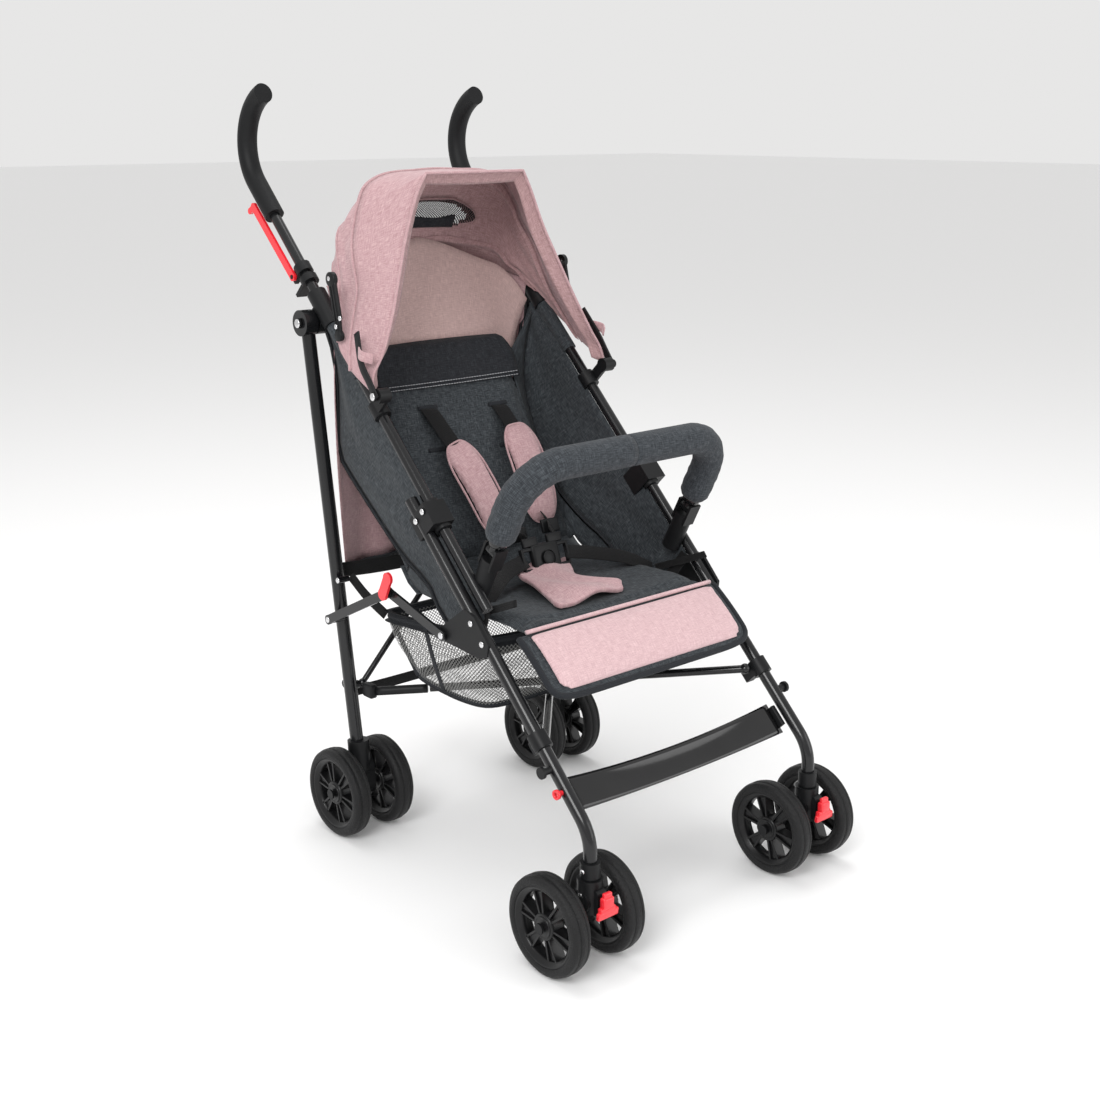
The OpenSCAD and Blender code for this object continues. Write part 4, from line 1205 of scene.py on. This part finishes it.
# ------------------------------------------------------- rivets, red parts, caps
RIV = {
    "side": [((0.221, 0.217, 0.731), 0.0062), ((0.2160, 0.0495, 0.651), 0.0052),
             ((0.2105, -0.046, 0.514), 0.0042), ((0.2105, -0.0316, 0.4984), 0.0042),
             ((0.2108, -0.1655, 0.366), 0.0042), ((0.2108, -0.1435, 0.388), 0.0042),
             ((0.2135, -0.357, 0.131), 0.0032)],
    "rear_leg": [((0.207, 0.160, 0.375), 0.0042), ((0.2005, 0.1525, 0.112), 0.0046)],
}
for s, title, sg in SIDES:
    for body, items in RIV.items():
        for k, (p, r) in enumerate(items):
            ride(rivet(f"{title} {body.replace('_', ' ')} rivet {k + 1}", p, sg, r), f"{s}_{body}")
    for nm, p, r, body in (("link front", (0.216, -0.088, 0.359), 0.0048, "side"),
                           ("caster", (0.2155, -0.357, 0.102), 0.0042, "caster"),
                           ("link rear", (0.2202, 0.169, 0.318), 0.0045, "link_rear"),
                           ("knee", (0.222, 0.026, 0.390), 0.0042, "link_rear")):
        if s == "right" and nm == "knee":
            continue
        ride(rivet(f"{title} {nm} rivet", p, sg, r), f"{s}_{body}")
    # canopy brace: ribbed elbow with two rivets
    br = []
    for p, q, w in (((0.140, 0.742), (0.152, 0.794), 0.0085), ((0.140, 0.742), (0.138, 0.720), 0.0065)):
        path = spline([(sg * 0.2052, p[0], p[1]), (sg * 0.2052, q[0], q[1])], 8)
        br.append(sweep("x", path, strap_profile(2 * w, 0.0052), PLASTIC, up=(sg, 0, 0)))
        for off in (-0.35, 0.35):
            br.append(sweep("x", path + np.array([sg * 0.0028, off * w, -off * w * 0.2]),
                            circle_profile(0.0011, 6), PLASTIC, up=(sg, 0, 0)))
    for p, r in (((0.1525, 0.795), 0.010), ((0.138, 0.721), 0.0075)):
        br.append(lathe("x", [(-0.003, r), (0.003, r), (0.0038, r * 0.85), (0.0040, 0.0001)], PLASTIC,
                        (sg * 0.2052, *p), "X", 28, flip=sg))
    soft(join(f"{title} canopy brace", br))
    for k, (y, z) in enumerate(((0.1546, 0.796), (0.1315, 0.745), (0.1416, 0.733))):
        soft(rivet(f"{title} brace rivet {k + 1}", (0.2082, y, z), sg, 0.0036))
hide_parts("canopy_braces")

# socket on each rear leg that the far end of the other side's seat cross bar sits in
for s, title, sg in SIDES:
    lift_y, lift_z = (0.0, 0.0) if s == "left" else (-0.008, 0.014)
    far_end = np.array([sg * 0.1705, 0.132 + lift_y, 0.198 + lift_z])
    near_end = np.array([sg * 0.1215, 0.0785 + lift_y, 0.2052 + lift_z])
    o = sweep(f"{title} cross bar socket", spline([near_end, (near_end + far_end) / 2, far_end], 10),
              circle_profile(0.0064, 14), PLASTIC, up=(0.12, 0.2, 0.97))
    b = rounded_box("b", (0.012, 0.022, 0.020), far_end + np.array([sg * 0.006, 0.010, 0]), PLASTIC, 0.003)
    o = join(f"{title} cross bar socket", [o, b])
    ride(o, f"{s}_rear_leg")

# red swivel toggles, shaped over the plain sliders
for s, title, sg in SIDES:
    x0 = sg * 0.201
    pts = [rounded_box("t", size, (x0, y, z), RED, edge_r, Matrix.Rotation(math.radians(turn), 4, "X"))
           for size, y, z, edge_r, turn in (((0.024, 0.008, 0.011), -0.3865, 0.0885, 0.002, 0),
                                            ((0.017, 0.010, 0.015), -0.3870, 0.0990, 0.003, 0),
                                            ((0.033, 0.006, 0.010), -0.3875, 0.0845, 0.002, 8),
                                            ((0.013, 0.006, 0.010), -0.3870, 0.1070, 0.002, 0))]
    o = join(f"{title} swivel toggle", pts)
    ride(o, f"{s}_swivel_lock")
    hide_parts(f"{s}_swivel_lock")
# carry button on the right leg: a red ring
o = lathe("Carry button", [(-0.0085, 0.0034), (-0.001, 0.0034), (-0.001, 0.0062), (0.003, 0.0062),
                           (0.0036, 0.0052), (0.003, 0.0034), (0.0005, 0.0030)], RED,
                           (-0.2160, -0.3145, 0.217), "X", 30, flip=-1)
ride(o, "right_side")

# ------------------------------------------------------- what each sheet was cut to
SHEETS = {"stretched": ["Canopy_front_panel", "Canopy_roof", "Canopy_lining", "Canopy_front_hem",
                        "Casing_of_the_front_bow",
                        "Casing_of_the_rear_bow", "Canopy_window_net", "Back_cloth_inside", "Header_band",
                        "Right_side_panel_cloth", "Left_side_panel_cloth", "Right_back_gusset",
                        "Left_back_gusset",
                        "Right_seat_gusset", "Left_seat_gusset", "Seat_joint_cloth", "Footrest_band"],
          "hung": ["Back_drape", "Basket_net_sides", "Basket_net_floor"],
          "folded": ["Rolled_window_flap"]}
for held, names in SHEETS.items():
    for nm in names:
        w_, l_, a_ = CUT[nm]
        round(min(a_, w_ * l_ * 0.98), 4)

# ------------------------------------------------------------------- stage
stage_mat = material("Pale floor", (0.90, 0.90, 0.90), 0.9)[0]
fl = link_mesh("Floor", [(-30, -30, -0.0005), (30, -30, -0.0005), (30, 30, -0.0005), (-30, 30, -0.0005)],
               [(0, 1, 2, 3)], stage_mat, smooth=False)
world = bpy.context.scene.world or bpy.data.worlds.new("World")
bpy.context.scene.world = world
world.use_nodes = True
bg = world.node_tree.nodes["Background"]
bg.inputs[0].default_value = (1.0, 0.995, 0.99, 1)
bg.inputs[1].default_value = 0.80


def light(name, pos, target, size, power):
    d = bpy.data.lights.new(name, "AREA")
    d.size = size
    d.energy = power
    o = bpy.data.objects.new(name, d)
    bpy.context.scene.collection.objects.link(o)
    o.location = pos
    o.rotation_mode = "QUATERNION"
    o.rotation_quaternion = (Vector(target) - Vector(pos)).to_track_quat("-Z", "Y")


MIDDLE = (0, 0, 0.5)
for name, place, size, watts in (("Key", (-2.6, -1.6, 2.6), 1.6, 75), ("Fill", (1.8, -3.0, 1.4), 2.2, 30),
                                 ("Top", (0.2, 0.6, 3.2), 1.8, 30)):
    light(name, place, MIDDLE, size, watts)

# camera at the photo's viewing angle
AZ, EL = math.radians(-41.33), math.radians(13.81)
CAMERA_AT = (-1.3602, -1.6100, 1.0064)
CAMERA_LENS, CAMERA_SHIFT = 51.01, (-0.0039, -0.0463)
back_v = Vector((math.sin(AZ) * math.cos(EL), -math.cos(AZ) * math.cos(EL), math.sin(EL)))
right_v = Vector((0, 0, 1)).cross(back_v).normalized()
up_v = back_v.cross(right_v)
cam = bpy.data.cameras.new("Camera")
co = bpy.data.objects.new("Camera", cam)
bpy.context.scene.collection.objects.link(co)
turn = Matrix((right_v, up_v, back_v)).transposed().to_4x4()
co.matrix_world = Matrix.Translation(Vector(CAMERA_AT)) @ turn
cam.sensor_width = 36
cam.lens = CAMERA_LENS
cam.shift_x, cam.shift_y = CAMERA_SHIFT
cam.clip_end = 100
bpy.context.scene.camera = co
bpy.context.scene.view_settings.view_transform = "Standard"
